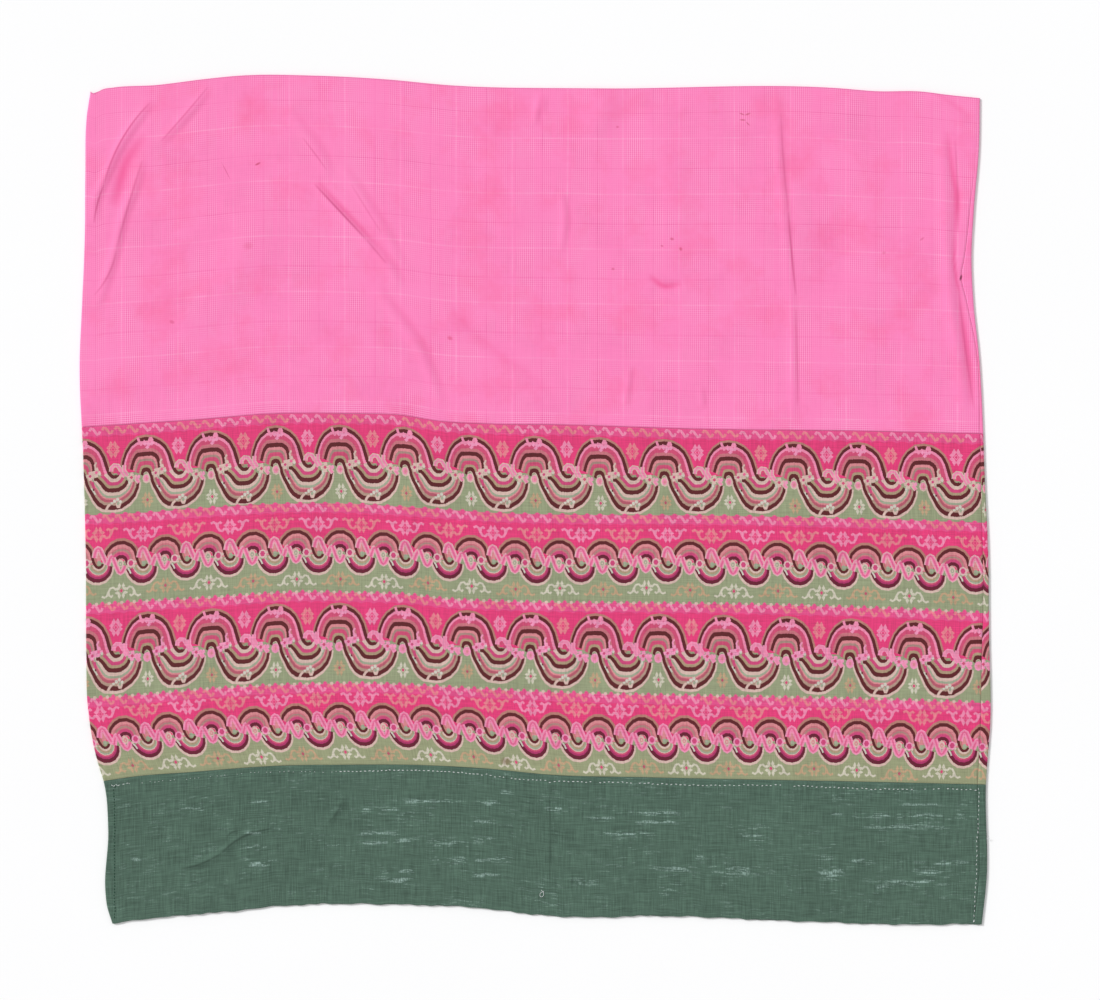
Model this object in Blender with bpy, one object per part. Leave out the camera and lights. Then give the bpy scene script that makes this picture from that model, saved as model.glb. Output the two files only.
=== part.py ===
"""A longyi laid flat: three lengths of cloth sewn into one flattened tube.

Metres, +Z up. The tube lies with its back on z = 0. +X runs to the right-hand fold and +Y from the waist
to the hem. Each panel is one wall that starts at the side seam on the front, goes round the right-hand
fold, under the tube, round the left-hand fold and back along the front to the side seam.
"""

from collections import namedtuple
from math import pi

import bmesh
import bpy
import numpy as np

MM = 0.001

# Thickness of the cloth, the air between front and back, and the parting at each seam
WALL = 1.0 * MM
LAYER_GAP = 0.3 * MM
SEAM_GAP = 0.3 * MM
FLAT_TOP = 2 * WALL + LAYER_GAP

# Columns of faces along each stretch of the loop
SEAM_STRIP_COLUMNS = 2
FOLD_COLUMNS = 4
BACK_COLUMNS = 14
FRONT_STRETCHES = ((0.0, 0.38, 28), (0.38, 0.9, 22), (0.9, 1.0, 10))

# The outline, in mm from the middle of the garment: along the edge, and across to it
EdgePoint = namedtuple("EdgePoint", "along across")

LEFT_FOLD = [
    EdgePoint(-453, -453),
    EdgePoint(-392, -458),
    EdgePoint(-342, -459),
    EdgePoint(-301, -462),
    EdgePoint(-280, -468.5),
    EdgePoint(-225, -478.5),
    EdgePoint(-160, -480.5),
    EdgePoint(-64, -481),
    EdgePoint(38, -483.5),
    EdgePoint(156, -487.5),
    EdgePoint(190, -486),
    EdgePoint(287, -482),
    EdgePoint(348, -481.5),
    EdgePoint(415, -479.5),
    EdgePoint(437, -476),
]
RIGHT_FOLD = [
    EdgePoint(-454, 478),
    EdgePoint(-408, 483),
    EdgePoint(-306, 482.5),
    EdgePoint(-230, 487.5),
    EdgePoint(-150, 486),
    EdgePoint(-44, 484.5),
    EdgePoint(17, 481.5),
    EdgePoint(75, 479.5),
    EdgePoint(155, 475),
    EdgePoint(213, 469),
    EdgePoint(257, 467),
    EdgePoint(309, 469.5),
    EdgePoint(376, 475),
    EdgePoint(430, 476),
]
HEM_EDGE = [
    EdgePoint(-476, 436.5),
    EdgePoint(-447, 442),
    EdgePoint(-406, 444),
    EdgePoint(-353, 450.5),
    EdgePoint(-318, 454),
    EdgePoint(-232, 454),
    EdgePoint(-158, 450),
    EdgePoint(-94, 444),
    EdgePoint(58, 440.5),
    EdgePoint(327, 440.5),
    EdgePoint(364, 437.5),
    EdgePoint(414, 437),
    EdgePoint(442, 433.5),
    EdgePoint(476, 430),
]
HEM_SEAM = [
    EdgePoint(-484, 78),
    EdgePoint(-422, 82),
    EdgePoint(-356, 86.5),
    EdgePoint(-288, 92),
    EdgePoint(-196, 92.5),
    EdgePoint(-145, 91),
    EdgePoint(-103, 84.5),
    EdgePoint(-51, 81.5),
    EdgePoint(27, 80.5),
    EdgePoint(176, 76),
    EdgePoint(337, 74),
    EdgePoint(480, 71),
]
WAISTBAND_SEAM = [
    EdgePoint(-463, -301),
    EdgePoint(-425, -295.5),
    EdgePoint(-372, -291.5),
    EdgePoint(-277, -284.5),
    EdgePoint(-199, -283.3),
    EdgePoint(-134, -283.4),
    EdgePoint(-100, -284.6),
    EdgePoint(-54, -287.3),
    EdgePoint(16, -294),
    EdgePoint(117, -296.7),
    EdgePoint(353, -301.5),
    EdgePoint(482, -304.5),
]
WAIST_EDGE = [
    EdgePoint(-453, -453),
    EdgePoint(-385, -445),
    EdgePoint(-334, -441),
    EdgePoint(-273, -434.5),
    EdgePoint(-145, -432.8),
    EdgePoint(-66, -436),
    EdgePoint(10, -444.5),
    EdgePoint(49, -446.5),
    EdgePoint(123, -445),
    EdgePoint(276, -450.5),
    EdgePoint(399, -454.2),
    EdgePoint(478, -453.7),
]

# How far the side seam lies in from the right-hand fold, in mm
SIDE_SEAM_INSET = [
    EdgePoint(-454, 9),
    EdgePoint(-305, 9.5),
    EdgePoint(-215, 11),
    EdgePoint(-120, 7),
    EdgePoint(-40, 6.5),
    EdgePoint(75, 4),
    EdgePoint(178, 4),
    EdgePoint(213, 8),
    EdgePoint(238, 12),
    EdgePoint(257, 8.5),
    EdgePoint(327, 4.5),
    EdgePoint(430, 3.5),
]

# The largest soft folds on the front, in mm: each runs from its start over its middle to its end
Crease = namedtuple("Crease", "name x0 y0 x1 y1 x2 y2 height half_width")
CREASES = [
    Crease("left_corner_long", -406, 452, -432, 378, -472, 292, 3.4, 9),
    Crease("left_corner_short", -350, 444, -370, 414, -397, 383, 2.6, 8),
    Crease("left_edge_sweep", -420, 366, -440, 290, -474, 210, 3.0, 9),
    Crease("upper_left_slant", -268, 420, -238, 386, -222, 346, 2.6, 9),
    Crease("middle_left_slant", -246, 346, -196, 296, -146, 226, 3.6, 10),
    Crease("middle_left_tail", -150, 232, -88, 168, -4, 110, 1.8, 14),
    Crease("small_beside_slant", -190, 328, -174, 306, -158, 284, 1.4, 7),
    Crease("centre_wrinkle", 30, 326, 33, 296, 28, 262, 1.2, 7),
    Crease("right_of_centre", 260, 404, 272, 292, 280, 104, 2.0, 13),
    Crease("beside_side_seam", 442, 392, 450, 280, 465, 84, 3.0, 7),
    Crease("hem_wave", 60, 448, 70, 420, 60, 390, 1.6, 18),
    Crease("middle_pressed_fold", 14, 60, 15, -190, 12, -440, 1.3, 7),
    Crease("waistband_long", -386, -396, -330, -374, -282, -348, 1.8, 7),
    Crease("waistband_short", -206, -312, -218, -334, -227, -352, 1.4, 6),
]
CREASE_STEPS = 16

# Each panel: its upper and lower edge, whether each is a seam, rows of faces, colour and roughness
Panel = namedtuple("Panel", "name upper upper_sewn lower lower_sewn rows colour roughness")
PANELS = [
    Panel("hem_panel", HEM_EDGE, False, HEM_SEAM, True, 26, (0.93, 0.22, 0.50, 1), 0.55),
    Panel("patterned_panel", HEM_SEAM, True, WAISTBAND_SEAM, True, 14, (0.52, 0.16, 0.20, 1), 0.6),
    Panel("waistband", WAISTBAND_SEAM, True, WAIST_EDGE, False, 8, (0.07, 0.16, 0.11, 1), 0.85),
]


def along_curve(points, at):
    """Where a smooth line through the edge points lies, in metres, for places given in metres."""
    along = np.array([p.along for p in points]) * MM
    across = np.array([p.across for p in points]) * MM
    slope = np.gradient(across, along)
    at = np.clip(at, along[0], along[-1])
    i = np.clip(np.searchsorted(along, at) - 1, 0, len(along) - 2)
    step = along[i + 1] - along[i]
    t = (at - along[i]) / step
    rise = across[i + 1] - across[i]
    bend = (slope[i] * step - rise) * (1 - t) - (slope[i + 1] * step - rise) * t
    return across[i] + t * rise + t * (1 - t) * bend


def crease_height(crease, x, y):
    """How far one soft fold lifts the front at x, y: a rounded ridge that dies out at both ends."""
    t = np.linspace(0, 1, CREASE_STEPS + 1)
    line_x = (1 - t) ** 2 * crease.x0 + 2 * t * (1 - t) * crease.x1 + t**2 * crease.x2
    line_y = (1 - t) ** 2 * crease.y0 + 2 * t * (1 - t) * crease.y1 + t**2 * crease.y2
    start = np.stack([line_x[:-1], line_y[:-1]], -1) * MM
    run = np.stack([np.diff(line_x), np.diff(line_y)], -1) * MM
    away = np.stack([x, y], -1)[:, None, :] - start
    share = np.clip((away * run).sum(-1) / (run**2).sum(-1), 0, 1)
    distance = np.linalg.norm(away - share[..., None] * run, axis=-1)
    nearest = distance.argmin(1)
    rows = np.arange(len(x))
    travelled = (nearest + share[rows, nearest]) / CREASE_STEPS
    taper = np.sin(pi * travelled) ** 0.6
    return crease.height * MM * taper * np.exp(-((distance[rows, nearest] / (crease.half_width * MM)) ** 2))


def front_top(x, y):
    """Height of the front's outer face over the floor."""
    return FLAT_TOP + sum(crease_height(crease, x, y) for crease in CREASES)


def front_shares():
    """How far across the front each column lies, closer together where the folds are."""
    shares = [np.linspace(start, end, count, endpoint=False) for start, end, count in FRONT_STRETCHES]
    return np.append(np.concatenate(shares), 1.0)


def panel_row(panel, share_down):
    """One row of a panel: the points of its outer and of its inner face, all round the loop."""
    parting = SEAM_GAP / 2

    def up_at(x):
        upper = along_curve(panel.upper, x) - parting * panel.upper_sewn
        lower = along_curve(panel.lower, x) + parting * panel.lower_sewn
        return upper + (lower - upper) * share_down

    left_y, right_y = up_at(np.array([panel.upper[0].along, panel.upper[-1].along]) * MM)
    left, right = along_curve(LEFT_FOLD, left_y), along_curve(RIGHT_FOLD, right_y)
    left_y, right_y = up_at(np.array([left, right]))
    seam = right - along_curve(SIDE_SEAM_INSET, right_y)
    left_radius, right_radius = front_top(np.array([left, right]), np.array([left_y, right_y])) / 2
    left_centre, right_centre = left + left_radius, right - right_radius

    strip_x = np.linspace(seam + parting, right_centre, SEAM_STRIP_COLUMNS + 1)
    back_x = np.linspace(right_centre, left_centre, BACK_COLUMNS + 1)
    front_x = left_centre + (seam - parting - left_centre) * front_shares()
    turn = np.linspace(0, pi, FOLD_COLUMNS + 1)[1:-1]

    def flat_run(x, outer_z, inner_z):
        y = up_at(x)
        return np.stack([x, y, outer_z(x, y)], -1), np.stack([x, y, inner_z(x, y)], -1)

    def turned_run(centre, radius, side, y):
        """A half turn from front to back on the right (side 1), or from back to front on the left (-1)."""
        rings = []
        for r in (radius, radius - WALL):
            z = radius + side * r * np.cos(turn)
            rings.append(np.stack([centre + side * r * np.sin(turn), np.full_like(turn, y), z], -1))
        return rings

    def front_inner(x, y):
        return front_top(x, y) - WALL

    strip = flat_run(strip_x, front_top, front_inner)
    right_turn = turned_run(right_centre, right_radius, 1, right_y)
    back = flat_run(back_x, lambda x, y: 0 * x, lambda x, y: 0 * x + WALL)
    left_turn = turned_run(left_centre, left_radius, -1, left_y)
    front = flat_run(front_x, front_top, front_inner)
    runs = (strip, right_turn, back, left_turn, front)
    return np.concatenate([run[0] for run in runs]), np.concatenate([run[1] for run in runs])


def cloth_material(panel):
    material = bpy.data.materials.new(panel.name)
    material.use_nodes = True
    shader = material.node_tree.nodes["Principled BSDF"]
    shader.inputs["Base Color"].default_value = panel.colour
    shader.inputs["Roughness"].default_value = panel.roughness
    shader.inputs["Metallic"].default_value = 0.0
    return material


def make_panel(panel):
    """Joins the rows into one closed wall: outer face, inner face, two rims and two ends at the side seam."""
    rows = [panel_row(panel, share) for share in np.linspace(0, 1, panel.rows + 1)]
    shape = bmesh.new()
    outer = [[shape.verts.new(point) for point in row[0]] for row in rows]
    inner = [[shape.verts.new(point) for point in row[1]] for row in rows]
    last_row, last_column = len(rows) - 1, len(outer[0]) - 1
    for r in range(last_row):
        for c in range(last_column):
            shape.faces.new((outer[r][c], outer[r][c + 1], outer[r + 1][c + 1], outer[r + 1][c]))
            shape.faces.new((inner[r][c], inner[r + 1][c], inner[r + 1][c + 1], inner[r][c + 1]))
    for r in (0, last_row):
        for c in range(last_column):
            shape.faces.new((outer[r][c], inner[r][c], inner[r][c + 1], outer[r][c + 1]))
    for c in (0, last_column):
        for r in range(last_row):
            shape.faces.new((outer[r][c], outer[r + 1][c], inner[r + 1][c], inner[r][c]))
    bmesh.ops.recalc_face_normals(shape, faces=shape.faces)
    if shape.calc_volume(signed=True) < 0:
        bmesh.ops.reverse_faces(shape, faces=shape.faces)
    mesh = bpy.data.meshes.new(panel.name)
    shape.to_mesh(mesh)
    shape.free()
    mesh.materials.append(cloth_material(panel))
    mesh.shade_smooth()
    mesh.set_sharp_from_angle(angle=pi / 4)
    bpy.context.collection.objects.link(bpy.data.objects.new(panel.name, mesh))


def main():
    for old in list(bpy.data.objects):
        bpy.data.objects.remove(old, do_unlink=True)
    for panel in PANELS:
        make_panel(panel)


main()
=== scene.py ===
"""The looks of a laid-flat longyi: checked pink silk, wave-patterned tapestry silk and slubbed green cotton.

Lengths are in mm on the garment unless a line says otherwise. X runs across it to the side seam, Y from the
waist to the hem. Each length of cloth also has its own measure. "around" starts at FRONT_TO_SEAM, at the side
seam on the front. It runs over the right-hand fold at FRONT_WIDTH, under the tube to the left-hand fold at
ROUND, and back over the front to the seam, at SEAM_AGAIN. "down" is the way from the cloth's upper edge.
"""

from collections import namedtuple
from math import atan2, e, hypot, pi, radians, sin

import bpy
import numpy as np
from mathutils import Matrix, Vector
from mathutils.geometry import delaunay_2d_cdt
from mathutils.kdtree import KDTree


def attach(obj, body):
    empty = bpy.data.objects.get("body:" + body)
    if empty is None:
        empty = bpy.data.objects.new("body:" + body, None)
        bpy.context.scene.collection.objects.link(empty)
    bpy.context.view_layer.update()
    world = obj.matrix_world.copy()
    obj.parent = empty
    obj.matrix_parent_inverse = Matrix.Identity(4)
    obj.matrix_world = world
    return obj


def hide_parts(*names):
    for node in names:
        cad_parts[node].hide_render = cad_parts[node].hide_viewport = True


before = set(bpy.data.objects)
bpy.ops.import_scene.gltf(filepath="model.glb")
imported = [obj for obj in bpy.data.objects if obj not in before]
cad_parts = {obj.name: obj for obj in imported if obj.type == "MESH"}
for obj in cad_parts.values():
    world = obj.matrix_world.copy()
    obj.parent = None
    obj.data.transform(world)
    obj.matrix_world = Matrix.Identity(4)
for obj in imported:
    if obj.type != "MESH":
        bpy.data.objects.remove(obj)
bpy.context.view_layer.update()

MM = 0.001
rng = np.random.default_rng(7)

# How far round the tube the side seam and the folds lie
FRONT_TO_SEAM = 958.0
FRONT_WIDTH = 968.0
ROUND = 2 * FRONT_WIDTH
SEAM_AGAIN = ROUND + FRONT_TO_SEAM

# Cloth as it lies, front on back, each a thin shell: the height of the front's outer face, the shell's
# thickness, how much of the folds the inner face keeps, and the height above which a point is on the front
FLAT_TOP = 2.3
CLOTH = 0.8
INNER_FOLLOW = 0.15
ON_FRONT = 1.2
# Slack of the front, the deepest hollow, and how far from a fold the cloth makes up for its turn
SLACK = 0.22
DEEPEST_HOLLOW = 0.42
FOLD_EASE = 60.0
# Cloth parts at its seams and rolls over at its edges. High up, the side seam can hardly be seen
SEAM_PARTING = 0.15
SEAM_HIDDEN_ABOVE = 300.0
SEAM_EASE = 60.0
ROLLED_EDGE = 1.6
ROLL_DEPTH = 0.45
FREE_EDGE = 0.6

# The photo's frame, the real width of one pixel, and the place under the camera
PHOTO_WIDE = 1100
MM_PER_PIXEL = 1.07
VIEW_CENTRE_X = 15.9

# The outline and the lines that the pattern rows follow, in mm: along the line, and across to it
LEFT_FOLD = [
    (-453, -452.5), (-436, -458), (-419, -460), (-354, -457), (-301, -462), (-280, -468.5),
    (-225, -478.5), (-160, -480.5), (-64, -481), (38, -483.5), (156, -487.5), (190, -486), (287, -482),
    (348, -481.5), (415, -479.5), (437, -476),
]
RIGHT_FOLD = [
    (-454, 478), (-408, 483), (-306, 482.5), (-230, 487.5), (-150, 486), (-44, 484.5), (17, 481.5),
    (75, 479.5), (155, 475), (213, 469), (257, 467), (309, 469.5), (376, 475), (430, 476),
]
SIDE_SEAM_INSET = [
    (-454, 9), (-305, 9.5), (-215, 11), (-120, 7), (-40, 6.5), (75, 4), (178, 4), (213, 8), (238, 12),
    (257, 8.5), (327, 4.5), (430, 3.5),
]
HEM_EDGE = [
    (-477, 437.5), (-470.6, 435), (-463, 439.3), (-451, 441.4), (-406, 444), (-353, 450.5), (-318, 454),
    (-232, 454), (-158, 450), (-94, 444), (58, 440.5), (327, 440.5), (364, 437.5), (414, 437),
    (442, 433.5), (476, 430),
]
HEM_SEAM = [
    (-484, 78), (-422, 82), (-356, 86.5), (-288, 92), (-196, 92.5), (-145, 91), (-103, 84.5), (-51, 81.5),
    (27, 80.5), (176, 76), (337, 74), (480, 71),
]
ROW_LINE_1 = [
    (-484, -15.5), (-422, -12.5), (-356, -7.5), (-250, -2.5), (-196, -3), (-145, -6), (-90, -9.5),
    (-35, -13), (27, -14.5), (198, -15.7), (390, -20.5), (480, -23),
]
ROW_LINE_2 = [
    (-484, -112), (-422, -107.5), (-356, -104), (-250, -97.5), (-185, -98.5), (-145, -99.5), (-90, -105.3),
    (-35, -107.5), (114, -109.5), (198, -110.3), (390, -115.6), (484, -120),
]
ROW_LINE_3 = [
    (-480, -211.5), (-422, -207.5), (-356, -201.7), (-250, -196.2), (-185, -195.2), (-145, -196.4),
    (-60, -201), (60, -206), (198, -209), (390, -213), (484, -216),
]
WAISTBAND_SEAM = [
    (-463, -301), (-425, -295.5), (-372, -291.5), (-277, -284.5), (-199, -283.3), (-134, -283.4),
    (-100, -284.6), (-54, -287.3), (16, -294), (117, -296.7), (353, -301.5), (482, -304.5),
]
WAIST_EDGE = [
    (-453, -453), (-385, -445), (-334, -441), (-273, -434.5), (-145, -432.8), (-66, -436), (10, -444.5),
    (49, -446.5), (123, -445), (276, -450.5), (399, -454.2), (478, -453.7),
]

# Each panel's guide lines: how far down the cloth each lies, and its line
HEM_LINES = [(0.0, HEM_EDGE), (362.0, HEM_SEAM)]
PATTERN_LINES = [
    (0.0, HEM_SEAM), (95.0, ROW_LINE_1), (190.0, ROW_LINE_2), (288.0, ROW_LINE_3), (376.0, WAISTBAND_SEAM),
]
BAND_LINES = [(0.0, WAISTBAND_SEAM), (151.0, WAIST_EDGE)]

# Soft folds, each along a line of points in mm: its height, its half width, the depth of the trough on its
# right-hand side as a share of half the height, and the line. A negative height is a hollow.
Crease = namedtuple("Crease", "height half_width trough line")
CREASES = [Crease(*row) for row in (
    (1.2, 4.2, 0.6, [(-410, 429), (-429, 403), (-445, 378), (-457, 352), (-470, 322), (-471, 297)]),
    (-0.6, 5.6, 0, [(-417, 392), (-437, 362), (-445, 336), (-451, 313)]),
    (0.8, 3.9, 0.6, [(-350, 441), (-366, 420), (-385, 399), (-401, 383)]),
    (1.05, 4.4, 0.6, [(-420, 366), (-429, 334), (-441, 304), (-450, 266), (-459, 236), (-470, 205)]),
    (0.8, 5.6, 0.5, [(-268, 417), (-246, 390), (-230, 369), (-221, 346)]),
    (1.6, 4.1, 0.9, [(-238, 338), (-222, 321), (-203, 301), (-186, 283), (-172, 268)]),
    (0.9, 5.2, 0.6, [(-192, 288), (-171, 266), (-155, 247), (-145, 228)]),
    (0.8, 5.0, 0.5, [(-209, 355), (-192, 334), (-175, 308), (-157, 280), (-144, 250)]),
    (1.0, 5.7, 0.6, [(-172, 226), (-158, 207), (-140, 184), (-124, 161), (-111, 129), (-100, 94)]),
    (0.9, 7, 0.5, [(-104, 208), (-77, 179), (-55, 157), (-28, 137), (-2, 119), (22, 102)]),
    (0.9, 3.2, 0.7, [(5, 436), (2, 420), (-1, 402)]),
    (0.7, 2.6, 0.6, [(10, 434), (8, 414)]),
    (0.8, 4.0, 0.7, [(28, 328), (31, 300), (27, 264)]),
    (0.8, 4.4, 0.6, [(258, 434), (261, 359), (266, 308), (273, 218)]),
    (0.65, 4.0, 0.6, [(273, 236), (275, 147), (276, 84)]),
    (-0.8, 3.2, 0, [(122, 240), (138, 229), (157, 232)]),
    (0.8, 3.0, 0.7, [(101, 144), (97, 100)]),
    (0.6, 2.6, 0.7, [(177, 122), (180, 97)]),
    (0.9, 4.0, 0.6, [(420, 434), (442, 421), (464, 404)]),
    (-0.9, 3.2, 0, [(441, 395), (447, 350), (451, 327), (451, 306), (449, 284)]),
    (-0.6, 1.8, 0, [(450, 292), (448, 262), (450, 239), (454, 214)]),
    (-1.0, 3.6, 0, [(453, 222), (458, 188), (462, 160), (466, 130), (467, 100)]),
    (1.3, 6.5, 0.1, [(434, 390), (438, 316), (440, 260), (445, 200), (454, 140), (458, 90)]),
    (1.5, 17, 0.1, [(60, 448), (70, 420), (60, 390)]),
    (0.8, 3.2, 0.8, [(15, 64), (16, -64), (14, -193), (16, -292), (15, -418)]),
    (1.5, 3.2, 0.8, [(-386, -395), (-351, -386), (-323, -367), (-306, -356), (-283, -350)]),
    (1.3, 3.0, 0.7, [(-203, -318), (-213, -334), (-224, -350)]),
    (0.9, 20, 0, [(-300, 300), (-330, 230), (-380, 180)]),
    (0.8, 22, 0, [(120, 420), (150, 330), (130, 250)]),
    (0.7, 20, 0, [(-60, 400), (-20, 320), (0, 240)]),
    (0.7, 22, 0, [(330, 380), (360, 300), (350, 200)]),
    (0.8, 18, 0, [(-110, 80), (-150, -60), (-190, -180)]),
    (0.5, 14, 0, [(250, -310), (300, -360), (340, -430)]),
)]
CREASE_STEPS = 16
CREASE_TAPER = 0.6
# A crease's trough and the painted shade beside it: how far out and how wide each is, in the crease's half
# widths
TROUGH_OUT, TROUGH_WIDE = 1.7, 0.7
HOLLOW_OUT, HOLLOW_WIDE = 1.3, 0.8


def smooth_step(t):
    t = np.clip(t, 0, 1)
    return t * t * (3 - 2 * t)


def sway(at, length, pull, other, other_length):
    """A wave along one measure that a wave along another pulls to and fro."""
    return np.sin(at / length + pull * np.sin(other / other_length))


def smooth_line(line):
    """A smooth run of points through a line's points."""
    knots = np.array(line, float)
    lead, tail = 2 * knots[0] - knots[1], 2 * knots[-1] - knots[-2]
    p = np.concatenate([[lead], knots, [tail]])
    at = np.linspace(0, len(knots) - 1, CREASE_STEPS + 1)
    i = np.minimum(at.astype(int), len(knots) - 2)
    t = (at - i)[:, None]
    p0, p1, p2, p3 = p[i], p[i + 1], p[i + 2], p[i + 3]
    square, cube = 2 * p0 - 5 * p1 + 4 * p2 - p3, 3 * p1 - p0 - 3 * p2 + p3
    return 0.5 * (2 * p1 + (p2 - p0) * t + square * t**2 + cube * t**3)


def along_curve(line, at):
    """Where a smooth line lies, in mm, for places along it."""
    along, across = np.array(line, float).T
    slope = np.gradient(across, along)
    at = np.clip(at, along[0], along[-1])
    i = np.clip(np.searchsorted(along, at) - 1, 0, len(along) - 2)
    step = along[i + 1] - along[i]
    t = (at - along[i]) / step
    rise = across[i + 1] - across[i]
    bend = (slope[i] * step - rise) * (1 - t) - (slope[i + 1] * step - rise) * t
    return across[i] + t * rise + t * (1 - t) * bend


def crease_form(crease, x, y):
    """A crease at points in mm: its height, a rounded ridge that dies out at both ends with a shallow trough
    on its right-hand side, and how deep in its hollow each point lies, from 0 to 1, as painted shade."""
    line = smooth_line(crease.line)
    height, hollow = np.zeros_like(x), np.zeros_like(x)
    reach = 4 * crease.half_width
    (low_x, low_y), (high_x, high_y) = line.min(0) - reach, line.max(0) + reach
    near = np.flatnonzero((x > low_x) & (x < high_x) & (y > low_y) & (y < high_y))
    if not len(near):
        return height, hollow
    start, run = line[:-1], np.diff(line, axis=0)
    away = np.stack([x[near], y[near]], -1)[:, None, :] - start
    share = np.clip((away * run).sum(-1) / (run**2).sum(-1), 0, 1)
    off = away - share[..., None] * run
    distance = np.linalg.norm(off, axis=-1)
    nearest = distance.argmin(1)
    rows = np.arange(len(near))
    side = np.sign(run[nearest, 1] * off[rows, nearest, 0] - run[nearest, 0] * off[rows, nearest, 1])
    across = distance[rows, nearest] * -side / crease.half_width
    taper = np.sin(pi * (nearest + share[rows, nearest]) / CREASE_STEPS) ** CREASE_TAPER
    ridge = np.exp(-(across**2))
    trough = np.exp(-(((across - TROUGH_OUT) / TROUGH_WIDE) ** 2))
    height[near] = crease.height * taper * (ridge - crease.trough * 0.5 * trough)
    # Painted shade: beside a ridge on its trough side, and all over a hollow crease
    if crease.height > 0:
        shadow = np.exp(-(((across - HOLLOW_OUT) / HOLLOW_WIDE) ** 2))
        deep = min(1.0, crease.height / 2) * crease.trough * shadow
    else:
        deep = ridge
    hollow[near] = deep * taper
    return height, hollow


def crease_shade_depth(points):
    """How deep in the front's creases points in metres lie, from 0 to 1: where the silk is given painted
    shade.
    """
    x, y, z = (points / MM).T
    deep = np.zeros(len(x))
    for crease in CREASES:
        deep = np.maximum(deep, crease_form(crease, x, y)[1])
    return deep * (z > ON_FRONT)


def front_top(x, y, follow=1.0):
    """Height of the front's outer face: flat cloth, its folds, and the slack between them. follow is how much
    of the folds' height is kept."""
    slack = SLACK * sway(x, 41, 1.3, y, 90) * sway(y, 57, 0.8, x, 120)
    folds = slack + sum(crease_form(crease, x, y)[0] for crease in CREASES)
    sunk = DEEPEST_HOLLOW * np.tanh(folds / DEEPEST_HOLLOW)
    return FLAT_TOP + np.where(folds < 0, sunk, follow * folds)


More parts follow.
